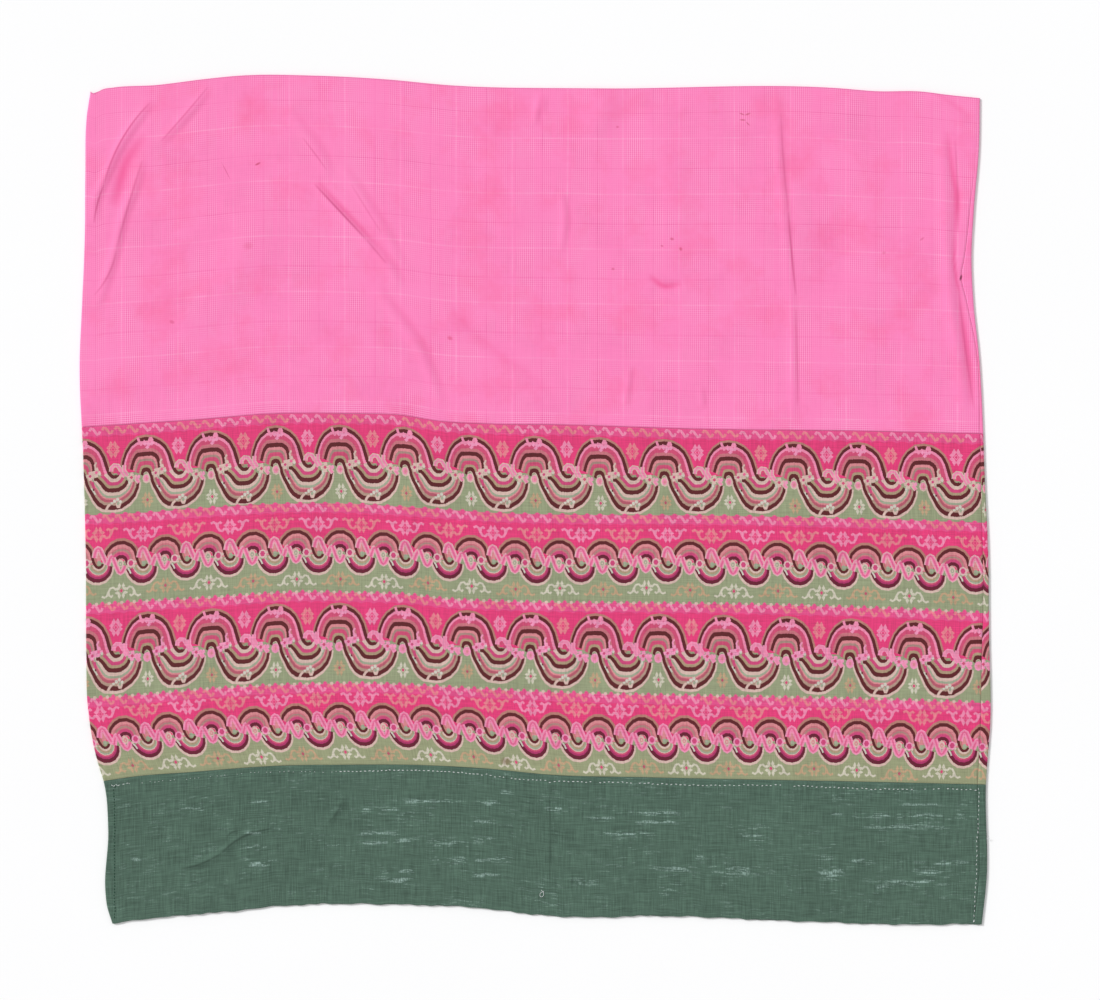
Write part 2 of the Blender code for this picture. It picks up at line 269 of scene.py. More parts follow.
class Panel:
    """One length of cloth that goes all round the tube, and where each point of it lies."""

    def __init__(self, name, lines, upper_sewn, lower_sewn, frayed=False):
        self.name, self.lines = name, lines
        self.upper_sewn, self.lower_sewn, self.frayed = upper_sewn, lower_sewn, frayed
        self.deep = lines[-1][0]

    def up_at(self, x, down):
        """Y at a place across the garment and a depth down the cloth."""
        depths = [depth for depth, _ in self.lines]
        levels = [along_curve(line, x) for _, line in self.lines]
        levels[0] = levels[0] - SEAM_PARTING * self.upper_sewn
        levels[-1] = levels[-1] + SEAM_PARTING * self.lower_sewn
        if self.frayed:
            levels[-1] = levels[-1] + 0.45 * sway(x, 3.3, 2, x, 19) + 0.4 * sway(x, 7.9, 1, x, 31)
        up = levels[0]
        for i in range(len(depths) - 1):
            share = np.clip((down - depths[i]) / (depths[i + 1] - depths[i]), 0, 1)
            up = up + share * (levels[i + 1] - levels[i])
        return up

    def sides(self, down):
        """X of the left-hand fold, of the side seam and of the right-hand fold."""
        left_y, right_y = (self.up_at(np.full_like(down, x), down) for x in (-480.0, 480.0))
        left, right = along_curve(LEFT_FOLD, left_y), along_curve(RIGHT_FOLD, right_y)
        return left, right - along_curve(SIDE_SEAM_INSET, right_y), right

    def around_at(self, x, down):
        """How far round the cloth a place on the front lies, left of the side seam."""
        left, seam, _ = self.sides(down)
        return ROUND + (x - left) / (seam - left) * FRONT_TO_SEAM

    def on_threads(self, around, down):
        """How far round the cloth's straight threads a place lies: they run straight up the front, so the
        folds wander across them."""
        left, seam, right = self.sides(down)
        left_end, right_end = left + FRONT_WIDTH / 2, right + FRONT_WIDTH / 2
        front = ROUND + left_end + (around - ROUND) / FRONT_TO_SEAM * (seam - left)
        share = (around - FRONT_TO_SEAM) / (FRONT_WIDTH - FRONT_TO_SEAM)
        strip = seam + FRONT_WIDTH / 2 + share * (right - seam)
        share = np.clip((around - FRONT_WIDTH) / FRONT_WIDTH, 0, 1)
        back = around + (right_end - FRONT_WIDTH) * (1 - share) ** 4 + left_end * share**4
        return np.where(around > ROUND, front, np.where(around <= FRONT_WIDTH, strip, back))

    def across_at(self, around, down):
        """X of places round the cloth, before it is bent over the folds. The side seam is a little parted."""
        left, seam, right = self.sides(down)
        front = around > ROUND
        hidden = smooth_step((self.up_at(seam, down) - SEAM_HIDDEN_ABOVE) / SEAM_EASE)
        seam = seam + SEAM_PARTING * (1 - 2 * front) * (1 - 0.7 * hidden)
        on_front = left + (around - ROUND) / FRONT_TO_SEAM * (seam - left)
        on_strip = seam + (around - FRONT_TO_SEAM) / (FRONT_WIDTH - FRONT_TO_SEAM) * (right - seam)
        on_back = right - (around - FRONT_WIDTH) / FRONT_WIDTH * (right - left)
        return np.where(front, on_front, np.where(around <= FRONT_WIDTH, on_strip, on_back))

    def rolled(self, around, down, up):
        """How far the outer face rolls over, at the long edges and at the side seam."""
        from_upper = down + (0 if self.upper_sewn else FREE_EDGE)
        from_lower = self.deep - down + (0 if self.lower_sewn else FREE_EDGE)
        at_edge = 1 - smooth_step(np.minimum(from_upper, from_lower) / ROLLED_EDGE)
        from_seam = np.minimum(np.abs(around - FRONT_TO_SEAM), np.abs(around - SEAM_AGAIN))
        shown = 1 - 0.8 * smooth_step((up - SEAM_HIDDEN_ABOVE) / SEAM_EASE)
        return ROLL_DEPTH * np.maximum(at_edge, shown * (1 - smooth_step(from_seam / ROLLED_EDGE)))

    def place(self, around, down, depth):
        """Points in metres for places on the cloth, at a depth under its outer face."""
        left, _, right = self.sides(down)
        on_top = (around > ROUND) | (around <= FRONT_WIDTH)
        x = self.across_at(around, down)
        up = self.up_at(x, down)
        top = front_top(x, up, INNER_FOLLOW if depth else 1.0) - depth
        if not depth:
            top = top - self.rolled(around, down, up)
        fold_x, inward = np.where(x > 0, right, left), np.where(x > 0, -1.0, 1.0)
        from_fold = np.abs(x - fold_x)
        radius = front_top(fold_x, up) / 2
        quarter = radius * pi / 2
        ease = np.clip((FOLD_EASE - from_fold) / FOLD_EASE, 0, 1)
        x_flat = x - inward * (quarter - radius) * ease
        z_flat = np.where(on_top, top, depth)
        bent = from_fold < quarter
        angle = np.where(bent, from_fold / quarter * pi / 2, 0)
        x_bent = fold_x + inward * (radius - (radius - depth) * np.cos(angle))
        z_bent = radius + np.where(on_top, 1, -1) * (radius - depth) * np.sin(angle)
        return np.stack([np.where(bent, x_bent, x_flat), up, np.where(bent, z_bent, z_flat)], -1) * MM


# Columns close together round a fold, and lines close together at a long edge
AT_FOLD = np.array([-3.6, -1.9, -1.4, -0.95, -0.5, 0, 0.5, 0.95, 1.4, 1.9, 3.6])
FOLD_COLUMNS = np.concatenate([FRONT_WIDTH + AT_FOLD, ROUND + AT_FOLD])
AT_EDGE = np.array([0, 0.4, 0.8, 1.2, 1.8, 2.8])


def grid_layout(panel, front_step, back_step, down_step):
    """A plain net of four-sided faces all round a panel."""
    rounds = np.concatenate([
        np.linspace(FRONT_TO_SEAM, FRONT_WIDTH - 4, 5),
        np.arange(FRONT_WIDTH + 6, ROUND - 6, back_step),
        np.arange(ROUND + 6, SEAM_AGAIN - 4, front_step),
        SEAM_AGAIN - np.array([2.4, 1.6, 0.8, 0.4, 0.0]),
        FRONT_TO_SEAM + np.array([0.4, 0.8, 1.6]),
        FOLD_COLUMNS,
    ])
    rounds = np.unique(np.round(rounds, 4))
    inside = np.linspace(5, panel.deep - 5, round((panel.deep - 10) / down_step) + 1)
    downs = np.concatenate([AT_EDGE, inside, panel.deep - AT_EDGE[::-1]])
    points = np.stack(np.meshgrid(rounds, downs), -1).reshape(-1, 2)
    wide = len(rounds)
    corners = [row * wide + column for row in range(len(downs) - 1) for column in range(wide - 1)]
    return points, [[at, at + wide, at + wide + 1, at + 1] for at in corners]


def rim_of(faces):
    """The points round the edge of a layout, in order."""
    sides = dict.fromkeys(side for face in faces for side in zip(face, face[1:] + face[:1]))
    following = {i: j for i, j in sides if (j, i) not in sides}
    rim = [next(iter(following))]
    while following[rim[-1]] != rim[0]:
        rim.append(following[rim[-1]])
    return rim


def inner_layout(panel, edge, step):
    """A sparse layout for the inner face with the outer one's edge, and its points that lie on that edge."""
    rounds = np.union1d(np.arange(FRONT_TO_SEAM + 3, SEAM_AGAIN - 2, step), FOLD_COLUMNS)
    downs = np.linspace(0, panel.deep, max(3, round(panel.deep / step)))[1:-1]
    grid = np.stack(np.meshgrid(rounds, downs), -1).reshape(-1, 2)
    flat = [Vector(p) for p in np.concatenate([edge, grid])]
    made = delaunay_2d_cdt(flat, [], [list(range(len(edge)))], 1, 1e-5, False)
    points = np.array([list(v) for v in made[0]])
    finder = KDTree(len(points))
    for i, (around, down) in enumerate(points):
        finder.insert((around, down, 0.0), i)
    finder.balance()
    return points, [list(face) for face in made[2]], [finder.find((*point, 0.0))[1] for point in edge]


def keep_shades(mesh, name, domain, shades):
    """Keeps a shade for each corner or point of a mesh where its material finds it."""
    shades = np.concatenate([shades, np.ones((len(shades), 4 - shades.shape[1]))], axis=1)
    attribute = mesh.color_attributes.new(name, "FLOAT_COLOR", domain)
    attribute.data.foreach_set("color", shades.astype(np.float32).ravel())


def cloth_shell(panel, points, faces, inner_step, worn=None, dyes=None, bands=None):
    """A thin closed shell from a flat layout of the outer face. The inner face is a sparser layout with the
    same edge, and a rim joins the two. Plain cloth gives a measure at points in metres: for the waistband how
    thin its weave is, for the silk the painted shade in its creases. Woven cloth gives the dye and the band
    of each outer face."""
    rim = rim_of(faces)
    inner_points, inner_faces, inner_rim = inner_layout(panel, points[rim], inner_step)
    base = len(points)
    all_faces = faces + [[base + i for i in face] for face in inner_faces]
    for k in range(len(rim)):
        n = (k + 1) % len(rim)
        all_faces.append([rim[n], rim[k], base + inner_rim[k], base + inner_rim[n]])
    places = np.concatenate([panel.place(*points.T, 0.0), panel.place(*inner_points.T, CLOTH)])
    mesh = bpy.data.meshes.new(panel.name)
    mesh.from_pydata(places.tolist(), [], all_faces)
    mesh.update()
    around, down = np.concatenate([points, inner_points]).T
    corners = np.zeros(len(mesh.loops), np.int32)
    mesh.loops.foreach_get("vertex_index", corners)
    if worn:
        around = panel.on_threads(around, down)
        # Thin weave on the waistband, painted crease shade on the silk
        keep_shades(mesh, "Worn", "POINT", np.repeat(worn(places)[:, None], 3, axis=1))
    else:
        shades = np.tile(linear(*DYES["rose"]), (len(all_faces), 1))
        shades[: len(dyes)] = dyes
        keep_shades(mesh, "Dye", "CORNER", np.repeat(shades, [len(face) for face in all_faces], axis=0))
        charted = np.zeros((len(corners), 3))
        charted[: 3 * len(dyes), :2] = bands.reshape(-1, 2)
        keep_shades(mesh, "Band", "CORNER", charted)
    measure = np.stack([around, down], -1)[corners] * MM
    mesh.uv_layers.new(name="Cloth").data.foreach_set("uv", measure.astype(np.float32).ravel())
    mesh.shade_smooth()
    mesh.set_sharp_from_angle(angle=radians(50))
    cloth = bpy.data.objects.new(panel.name + "_cloth", mesh)
    bpy.context.collection.objects.link(cloth)
    return cloth


# Thin places in the green cotton where its warp shows pale: x, y, half length and half width in mm
THIN_PLACES = [
    (-366, -331, 15, 2), (-294, -323, 15, 2), (-301, -356, 9, 2.5), (-298, -371, 16, 4), (-297, -389, 15, 6),
    (-438, -368, 6, 2.4), (-428, -385, 5, 3), (-188, -331, 11, 2), (-154, -331, 13, 2), (-114, -322, 35, 2.6),
    (-50, -324, 13, 3.4), (-33, -313, 9, 2.4), (-56, -345, 13, 3), (-171, -357, 26, 4), (-171, -367, 26, 2.6),
    (-90, -367, 21, 8), (-136, -364, 13, 4), (-88, -386, 21, 4.5), (-45, -385, 21, 6), (-56, -364, 13, 5),
    (-136, -397, 13, 3.4), (-50, -401, 15, 3.4), (-145, -407, 11, 6), (53, -409, 16, 8), (68, -341, 16, 3),
    (127, -335, 32, 3), (130, -345, 27, 3), (231, -360, 12, 5), (225, -397, 27, 8), (143, -394, 24, 5),
    (176, -382, 6, 4), (322, -336, 6, 2.5), (398, -338, 46, 4), (398, -350, 48, 4.5), (413, -326, 22, 2),
    (307, -383, 11, 4.5), (322, -370, 9, 4), (316, -400, 16, 10), (350, -386, 13, 3.4), (435, -388, 30, 3.4),
    (419, -397, 16, 7), (398, -409, 38, 4), (369, -415, 10, 4), (95, -357, 30, 3), (20, -330, 9, 3),
]
BACK_SHIFT_X, BACK_SHIFT_Y = 23, 4
# A place with at least this half width shows less strongly
WIDE_PLACE, WIDE_STRENGTH = 3.5, 0.75


def thinness(points):
    """How thin the weave is, from 0 to 1, at points in metres. The back has places like the front's, mirrored
    and a little shifted."""
    x, y, z = (points / MM).T
    thin = np.zeros(len(x))
    for centre_x, centre_y, half_long, half_wide in THIN_PLACES:
        strength = 1.0 if half_wide < WIDE_PLACE else WIDE_STRENGTH
        reach = 0.6 * half_wide + 0.3
        spot = np.exp(-(((x - centre_x) / half_long) ** 4 + ((y - centre_y) / reach) ** 2))
        back_x, back_y = x + centre_x + BACK_SHIFT_X, y - centre_y + BACK_SHIFT_Y
        mirrored = np.exp(-((back_x / half_long) ** 4 + (back_y / reach) ** 2))
        thin = np.maximum(thin, strength * np.where(z > ON_FRONT, spot, mirrored))
    return thin


# Dyes, as they look in daylight: red, green, blue out of 255
DYES = {
    "pink_ground": (246, 62, 132),
    "border_ground": (246, 86, 152),
    "light_pink": (255, 152, 191),
    "petal_pink": (255, 164, 204),
    "ribbon_pink": (244, 110, 160),
    "shell": (238, 200, 200),
    "rose": (222, 82, 126),
    "rose_tan": (214, 124, 136),
    "crimson": (196, 96, 116),
    "magenta": (220, 74, 132),
    "dark": (98, 18, 27),
    "plum": (108, 8, 45),
    "tan": (196, 136, 124),
    "tan_green": (186, 164, 132),
    "tan_on_pink": (246, 140, 154),
    "grey_tan": (178, 146, 136),
    "peach": (190, 160, 142),
    "salmon": (232, 148, 156),
    "sage": (161, 173, 136),
    "moss": (164, 173, 134),
    "mint": (170, 182, 156),
    "cream": (231, 202, 191),
    "pale": (222, 222, 208),
    "tan_on_green": (204, 174, 138),
    "chalk": (222, 220, 200),
    "beet": (188, 50, 112),
}


def linear(*colour):
    """A screen colour out of 255 as the light it sends back."""
    return tuple(c / 255 / 12.92 if c <= 10 else ((c / 255 + 0.055) / 1.055) ** 2.4 for c in colour)


class Chart:
    """Shapes of one dye each, laid over one another in the order they are woven in. A strip is a run of
    four-sided shapes between two lines, whose bands of dye the cloth's material sets by the place across."""

    def __init__(self):
        self.shapes, self.dyes, self.bands = [], [], []

    def fill(self, dye, points, band=None):
        self.shapes.append(np.asarray(points, float))
        self.dyes.append(dye)
        self.bands.append(band)

    def strip(self, wave_number, outer, inner, outer_place, inner_place):
        for i in range(len(outer) - 1):
            shape = [outer[i], outer[i + 1], inner[i + 1], inner[i]]
            self.fill("sage", shape, (wave_number, outer_place, inner_place))

    def ribbon(self, dye, points, width):
        """A stripe of even width along a bent line."""
        p = np.asarray(points, float)
        run = np.gradient(p, axis=0)
        run /= np.maximum(np.linalg.norm(run, axis=1, keepdims=True), 1e-9)
        side = np.stack([-run[:, 1], run[:, 0]], -1) * width / 2
        self.fill(dye, np.concatenate([p + side, (p - side)[::-1]]))

    def blob(self, dye, x, y, half_wide, half_high, corners=6, turn=0.0):
        a = np.arange(corners) / corners * 2 * pi + turn
        self.fill(dye, np.stack([x + half_wide * np.cos(a), y + half_high * np.sin(a)], -1))


# The large wave, in mm from the crown of its arch and down from the row's top: lines of matching points
ARCH_OUTER = [
    (-26, 47), (-24.2, 38.5), (-21, 30), (-16.5, 23.4), (-9.3, 17.8), (0, 16.5), (8.9, 17.8), (15.5, 21.5),
    (20.5, 26.6), (24.2, 34), (26.1, 40.6), (28, 47.3), (30.4, 53),
]
ARCH_INNER = [
    (-16.5, 49), (-15.2, 44), (-13.8, 39.5), (-12, 36), (-9.8, 33.4), (-1, 32.7), (7, 33), (10, 35),
    (11.8, 37.2), (12.8, 41), (13.2, 45), (13.4, 49), (14, 54),
]
ARCH_HOOK = [
    (-5, 56), (-4.6, 54.5), (-4.4, 53), (-4, 51.6), (-2.5, 50.4), (-0.7, 50), (1, 50.3), (2.2, 51.2),
    (2.9, 52.4), (3.5, 53.6), (4, 55), (4.6, 56.8), (5.2, 59),
]
BOWL_HOOK = [
    (30, 51), (30.2, 52), (30.6, 53), (31.2, 54), (32, 54.8), (32.8, 55.4), (33.6, 55.8), (34.3, 56),
    (35.2, 56), (36.3, 55.9), (37.4, 55.4), (38, 54.8), (38.5, 54), (39.5, 52),
]
BOWL_INNER = [
    (15.1, 56.5), (15.6, 57.5), (17.4, 59), (19.4, 60.8), (22, 64), (24.2, 67.3), (26.2, 69.4),
    (28.5, 70.4), (34.2, 70.6), (39.4, 70.2), (44.2, 67.3), (46.2, 65.3), (47.5, 63.5), (48.6, 61),
]
BOWL_OUTER = [
    (3.6, 54), (4.6, 56.8), (6, 63.5), (7.9, 68.3), (10.7, 73.5), (13.6, 79.7), (17.6, 85.3), (22.7, 88.8),
    (34.2, 89.9), (41.5, 88.8), (50, 83.5), (55.7, 76.9), (59, 69.2), (60, 63),
]
# Dyes of each wave from the outside in: the share from the outer line to the inner one at which each starts,
# and beyond 1 the share from the inner line to the hook
WAVES = {
    1: [
        (-0.28, "tan"), (-0.12, "dark"), (0.13, "light_pink"), (0.33, "rose"), (0.64, "rose_tan"),
        (0.86, "dark"), (1.14, "salmon"), (1.31, "grey_tan"), (1.45, "rose"), (1.70, "tan_green"),
        (1.86, "dark"), (2.11, "cream"),
    ],
    2: [
        (-0.27, "cream"), (-0.12, "dark"), (0.13, "peach"), (0.29, "crimson"), (0.46, "salmon"),
        (0.55, "mint"), (0.68, "cream"), (0.86, "dark"), (1.14, "tan_green"), (1.34, "magenta"),
        (1.60, "cream"), (1.85, "dark"),
    ],
    3: [
        (-0.30, "tan"), (-0.125, "dark"), (0.135, "salmon"), (0.34, "rose_tan"), (0.46, "grey_tan"),
        (0.56, "rose_tan"), (0.66, "magenta"), (0.86, "plum"), (1.12, "cream"),
    ],
    4: [
        (-0.31, "cream"), (-0.13, "plum"), (0.14, "beet"), (0.30, "rose"), (0.42, "cream"), (0.48, "mint"),
        (0.60, "tan_green"), (0.74, "cream"), (0.88, "dark"),
    ],
}
# The cloth keeps a place across a wave as its share of this span, and the wave's number in these steps
PLACE_LOW, PLACE_SPAN = -0.35, 2.6
BAND_STEP = 0.1

# The small wave, in the same way
SMALL_OUTER = [
    (-16.2, 44), (-14.6, 39.6), (-9.4, 34.2), (-3.6, 31.3), (3.6, 31.1), (10.8, 34.8), (14.6, 39.8),
    (16.2, 46.4), (17.4, 51.6), (19, 55.4),
]
SMALL_INNER = [
    (-6.4, 50.4), (-6, 49.4), (-4.8, 48), (-1.8, 46.2), (1.8, 46.2), (4.2, 47.8), (5, 49), (5.4, 50.6),
    (6, 53), (7, 55.5),
]
CUP_HOOK = [
    (19, 55.4), (20.2, 57), (21.6, 58.2), (23, 58.6), (24.4, 58.5), (25.6, 57.9), (26.6, 57), (27.2, 56),
    (27.6, 55),
]
CUP_OUTER = [
    (7, 60), (9.6, 65.4), (13.4, 69.8), (18, 72.6), (24, 73.2), (29.6, 71.4), (34, 67.2), (36, 63),
    (36.6, 58),
]


# The lines of each wave, by its number in WAVES, and which waves each kind of row has
WAVE_LINES = {
    1: (ARCH_OUTER, ARCH_INNER, ARCH_HOOK), 2: (BOWL_OUTER, BOWL_INNER, BOWL_HOOK),
    3: (SMALL_OUTER, SMALL_INNER), 4: (CUP_OUTER, CUP_HOOK),
}
KINDS = {"large": (1, 2), "small": (3, 4)}
# How far a wave's last band goes on past its last line, as a share of the way between its last two lines
PAST_LAST = 0.15


def unseen(around, margin):
    """Whether a place round the tube lies on the back, a margin away from both folds. It is drawn plainer."""
    return FRONT_WIDTH + margin < around < ROUND - margin


class Repeat:
    """One repeat of a wave, set at its crown, with the slight unevenness of hand weaving."""

    def __init__(self, chart, crown, top):
        self.chart = chart
        self.plain = unseen(crown, 40)
        self.at = np.array([crown, top]) + rng.normal(0, 0.25, 2)
        self.scale = 1 + rng.normal(0, 0.012, 2)

    def lay(self, points):
        return self.at + np.asarray(points, float) * self.scale

    def wave(self, number):
        """The bands between a wave's lines, from the outside in."""
        lines = WAVE_LINES[number]
        if self.plain:
            lines = [line[:-1:2] + line[-1:] for line in lines]
        lines = [self.lay(line) for line in lines]
        first, last = WAVES[number][0][0], WAVES[number][-1][0]
        inmost = len(lines) - 1
        outside = lines[0] + first * (lines[1] - lines[0])
        self.chart.strip(number, outside, lines[1], first, 1)
        if inmost > 1:
            self.chart.strip(number, lines[1], lines[2], 1, 2)
        if last > inmost:
            beyond = lines[-1] + PAST_LAST * (lines[-1] - lines[-2])
            self.chart.strip(number, lines[-1], beyond, inmost, inmost + PAST_LAST)

    def ribbon(self, dye, points, width):
        if self.plain and len(points) > 4:
            points = list(points[:-1:2]) + [points[-1]]
        self.chart.ribbon(dye, self.lay(points), width)

    def blob(self, dye, x, y, half_wide, half_high, corners=6, turn=0.0):
        if self.plain and half_wide < 1.6:
            return
        x, y = self.lay((x, y))
        self.chart.blob(dye, x, y, half_wide, half_high, min(corners, 4) if self.plain else corners, turn)

    def blobs(self, dye, corners, *spots, turn=0.0):
        for spot in spots:
            self.blob(dye, *spot, corners, turn)

    def petals(self, dye, x, y, shapes):
        """Each petal four times, mirrored across and down. A petal is its centre from the flower's and its
        half sizes."""
        for out_x, out_y, half_wide, half_high in shapes:
            for across in (-1, 1):
                for down in (-1, 1):
                    self.blob(dye, x + across * out_x, y + down * out_y, half_wide, half_high, 4)


def star_flower(repeat, x, y, petal, heart, size=1.0, full=1.0):
    """Two petals up, two down and two at each side, round a small heart. full is how wide the petals are."""
    shapes = np.array([(2.1, 5.5, 2.3 * full, 4.1), (4.4, 2.0, 2.8, 2.7 * full)]) * size
    repeat.petals(petal, x, y, shapes)
    repeat.blob(petal, x, y, 2.6 * size, 3.0 * size, 4)
    repeat.blob(heart, x, y, 1.5 / full * size, 2.0 / full * size, 4)


def tendril_flower(repeat, x, y, petal, heart, way, full=1.0):
    """A small flower between two curling tendrils. way is 1 with the tendrils' tips up, -1 down."""
    repeat.petals(petal, x, y, [(2.1, 5.0, 2.1 * full, 3.7), (4.2, 2.0, 2.9, 2.2 * full)])
    repeat.blob(petal, x, y, 2.2, 2.6, 4)
    repeat.blob(heart, x, y, 1.6 / full, 2.0 / full, 4)
    stem = [(5.4, 1.0), (8.4, 4.0), (11.4, 3.2), (13.6, -0.6), (15.0, -4.4), (17.6, -6.2), (20.6, -4.8)]
    hook = [(13.2, -1.2), (12.8, -4.2), (10.4, -5.8), (9.0, -4.0)]
    for side in (-1, 1):
        for line in (stem, hook):
            repeat.ribbon(petal, [(x + side * u, y + way * v) for u, v in line], 2.6 * full)


def large_repeat(repeat, trim, upper_light, lower_light):
    """Arch, bowl and the blossoms where they cross."""
    repeat.ribbon("dark", ARCH_OUTER[9:] + BOWL_HOOK[3:12], 3.3)
    repeat.ribbon("dark", ARCH_HOOK[3:12] + BOWL_OUTER[2:6], 3.2)
    # Broken crown of the arch with its hanging blossom
    repeat.ribbon("light_pink", [(-8.4, 14.8), (-7.2, 18.6), (-4.6, 23.8)], 2.6)
    repeat.blobs("light_pink", 6, (5.4, 18.4, 3.0, 3.8))
    repeat.blobs("petal_pink", 4, (-0.8, 22.2, 2.4, 2.2), (2.8, 23, 3.4, 2.6), (1.4, 26, 2.4, 2.0),
                 (6.4, 22.2, 2.4, 2.4))
    repeat.blobs("ribbon_pink", 4, (0.4, 23.4, 0.9, 0.9), (3.6, 25.2, 0.9, 0.9), (4.6, 20.6, 0.9, 0.9))
    repeat.blobs("light_pink", 4, (-1.6, 18.8, 0.9, 1.2))
    # Broken foot of the bowl with its leaf
    repeat.ribbon("cream", [(25.6, 91.4), (27.2, 88.2), (29.8, 85.6)], 2.6)
    repeat.blobs("cream", 6, (38.4, 86.6, 2.9, 4.0))
    repeat.blobs("pale", 5, (31.6, 84.6, 1.8, 1.5), (34.6, 82.6, 2.0, 2.2), (37.8, 80.8, 2.0, 2.2),
                 (40.6, 83.4, 1.8, 2.0))
    repeat.blobs("mint", 5, (38.2, 85.0, 1.6, 2.3))
    # Curl over the bowl's hook, and its twin under the arch's hook
    curl = [(31.8, 50.2), (32.2, 46.4), (35.2, 43.6), (39.0, 44.2), (41.4, 48.0), (43.4, 52.4), (46.2, 56.4)]
    for dye, width in ((trim, 4.8), ("light_pink", 2.7)):
        repeat.ribbon(dye, curl, width)
    repeat.blobs("rose", 6, (36.8, 49.0, 2.2, 2.4))
    repeat.blobs("magenta", 6, (39.8, 52.6, 2.0, 2.0))
    repeat.blobs(trim, 8, (-0.5, 59.6, 4.4, 5.4))
    repeat.blobs("light_pink", 6, (-0.7, 59.2, 3.0, 4.0))
    repeat.blobs("salmon", 5, (-0.3, 59.6, 1.4, 2.1))
    # Pink ribbons from the arch's left foot down to the bowl behind it
    for dye, width in ((trim, 4.6), ("light_pink", 2.8)):
        repeat.ribbon(dye, [(-23.8, 43.6), (-24.0, 49.4), (-20.4, 55.4)], width)
        repeat.ribbon(dye, [(-12.9, 55.4), (-11.2, 59.6), (-8.4, 63.4)], width)
    # Blossoms at the crossings
    blossoms = ((-16.4, 57.4, 3.1, "rose"), (9.6, 54.2, 2.8, "magenta"), (16.2, 50.6, 3.0, "ribbon_pink"))
    for x, y, size, heart in blossoms:
        for out_x, out_y in ((-0.9, 0), (0.9, 0.1), (0.1, -1.1), (-0.1, 1.1)):
            repeat.blob(trim, x + out_x * size, y + out_y * size, size * 0.9, size * 0.85, 4, 0.5)
        repeat.blob(heart, x, y, size * 0.62, size * 0.68, 4)
    repeat.ribbon(trim, [(15.6, 46.4), (14.8, 42.6), (16.6, 39.4)], 1.9)
    repeat.blobs("petal_pink", 5, (-8.6, 57.2, 1.9, 2.6), turn=0.5)
    # Knot at the inner bowl's end, and the slip of thread beside the bowl's left side
    repeat.blobs("dark", 5, (15, 58, 2.0, 2.0))
    repeat.blobs("pale", 5, (19.6, 52.4, 1.6, 1.6))
    repeat.ribbon("magenta", [(12.0, 60.6), (12.4, 64), (13.4, 67.6)], 2.6)
    repeat.ribbon("pale", [(10.4, 67.4), (12.2, 70.2), (14.6, 74.4)], 1.6)
    repeat.blobs("dark", 5, (12.8, 69.2, 1.0, 1.3))
    repeat.blobs("pale", 5, (50.8, 62.4, 1.5, 3.4), turn=0.6)
    petal, heart = ("chalk", "rose") if lower_light else ("tan_on_green", "crimson")
    star_flower(repeat, 0, 82.6, petal, heart, 0.92, 0.8)
    star_flower(repeat, 34.6, 26.4, "light_pink" if upper_light else "tan_on_pink", "pink_ground")


def small_repeat(repeat, trim, upper_light, lower_light):
    """Arch, cup, the ribbon that zigzags through them and a blossom."""
    repeat.ribbon("dark", SMALL_OUTER[6:] + CUP_HOOK[1:], 2.6)
    repeat.blobs("salmon", 6, (23.4, 48.2, 3.0, 6.0))
    repeat.blobs("mint", 6, (23.6, 53.6, 2.4, 2.4))
    zigzag = (
        (5.8, [(18.6, 48), (19.6, 43), (21.0, 39.6), (22.8, 38.2), (24.6, 39.2), (26.2, 42.4), (28.8, 48.8),
               (31.6, 55)]),
        (5.8, [(32.6, 57), (34.6, 51.4), (36.6, 47.6), (38.2, 46.8)]),
        (5.6, [(-8.6, 46.8), (-6.6, 52), (-4.4, 58), (-2.6, 61.8), (-0.8, 63), (1.0, 61.8), (2.6, 59),
               (4.2, 55.6)]),
    )
    tones = [(trim, 1.0), ("light_pink", 0.72), ("ribbon_pink", 0.30)]
    for width, line in zigzag:
        for dye, share in tones[: 2 if repeat.plain else 3]:
            repeat.ribbon(dye, line, share * width)
    repeat.blobs("cream", 7, (-0.9, 53.0, 3.7, 4.5))
    repeat.blobs("mint" if trim == "shell" else "salmon", 6, (-0.9, 53.4, 2.0, 2.7))
    repeat.blobs("cream", 4, (-0.9, 53.6, 0.9, 1.3))
    repeat.blobs(trim, 8, (10.2, 53.4, 4.4, 4.8))
    repeat.blobs("magenta", 6, (10.2, 53.2, 2.7, 3.2))
    repeat.blobs("cream", 5, (14.8, 52.0, 1.5, 1.8), (13.6, 56.4, 1.4, 1.68), (6.2, 56.6, 1.5, 1.8))
    repeat.blobs("plum", 5, (6.4, 59.8, 1.2, 1.6))
    repeat.ribbon("pale", [(6.8, 58.4), (8.8, 61.2), (10.0, 64.2)], 1.7)
    petal, heart = ("chalk", "rose") if lower_light else ("tan_on_green", "crimson")
    tendril_flower(repeat, 23.4, 23.2, "light_pink" if upper_light else "tan_on_pink", "pink_ground", 1)
    tendril_flower(repeat, 0, 81.6, petal, heart, -1, 0.85)


# The border along a row's upper edge: a squiggle of thread, how far apart, how wide and how deep it is, and
# the depth at which the teeth between rows end
SQUIGGLE = [(-5.2, 4.8), (-3.5, 2.0), (-1.4, 2.8), (0.7, 5.9), (2.7, 8.9), (4.7, 8.0), (5.8, 5.4)]
SQUIGGLE_PITCH = 13.34
SQUIGGLE_WIDTH = 2.9
BORDER_DEEP = 10.6
TOOTH_GAP = 1.3
# How far down a row its ground turns from pink to the lower dye
GROUND_TURN = 52.0

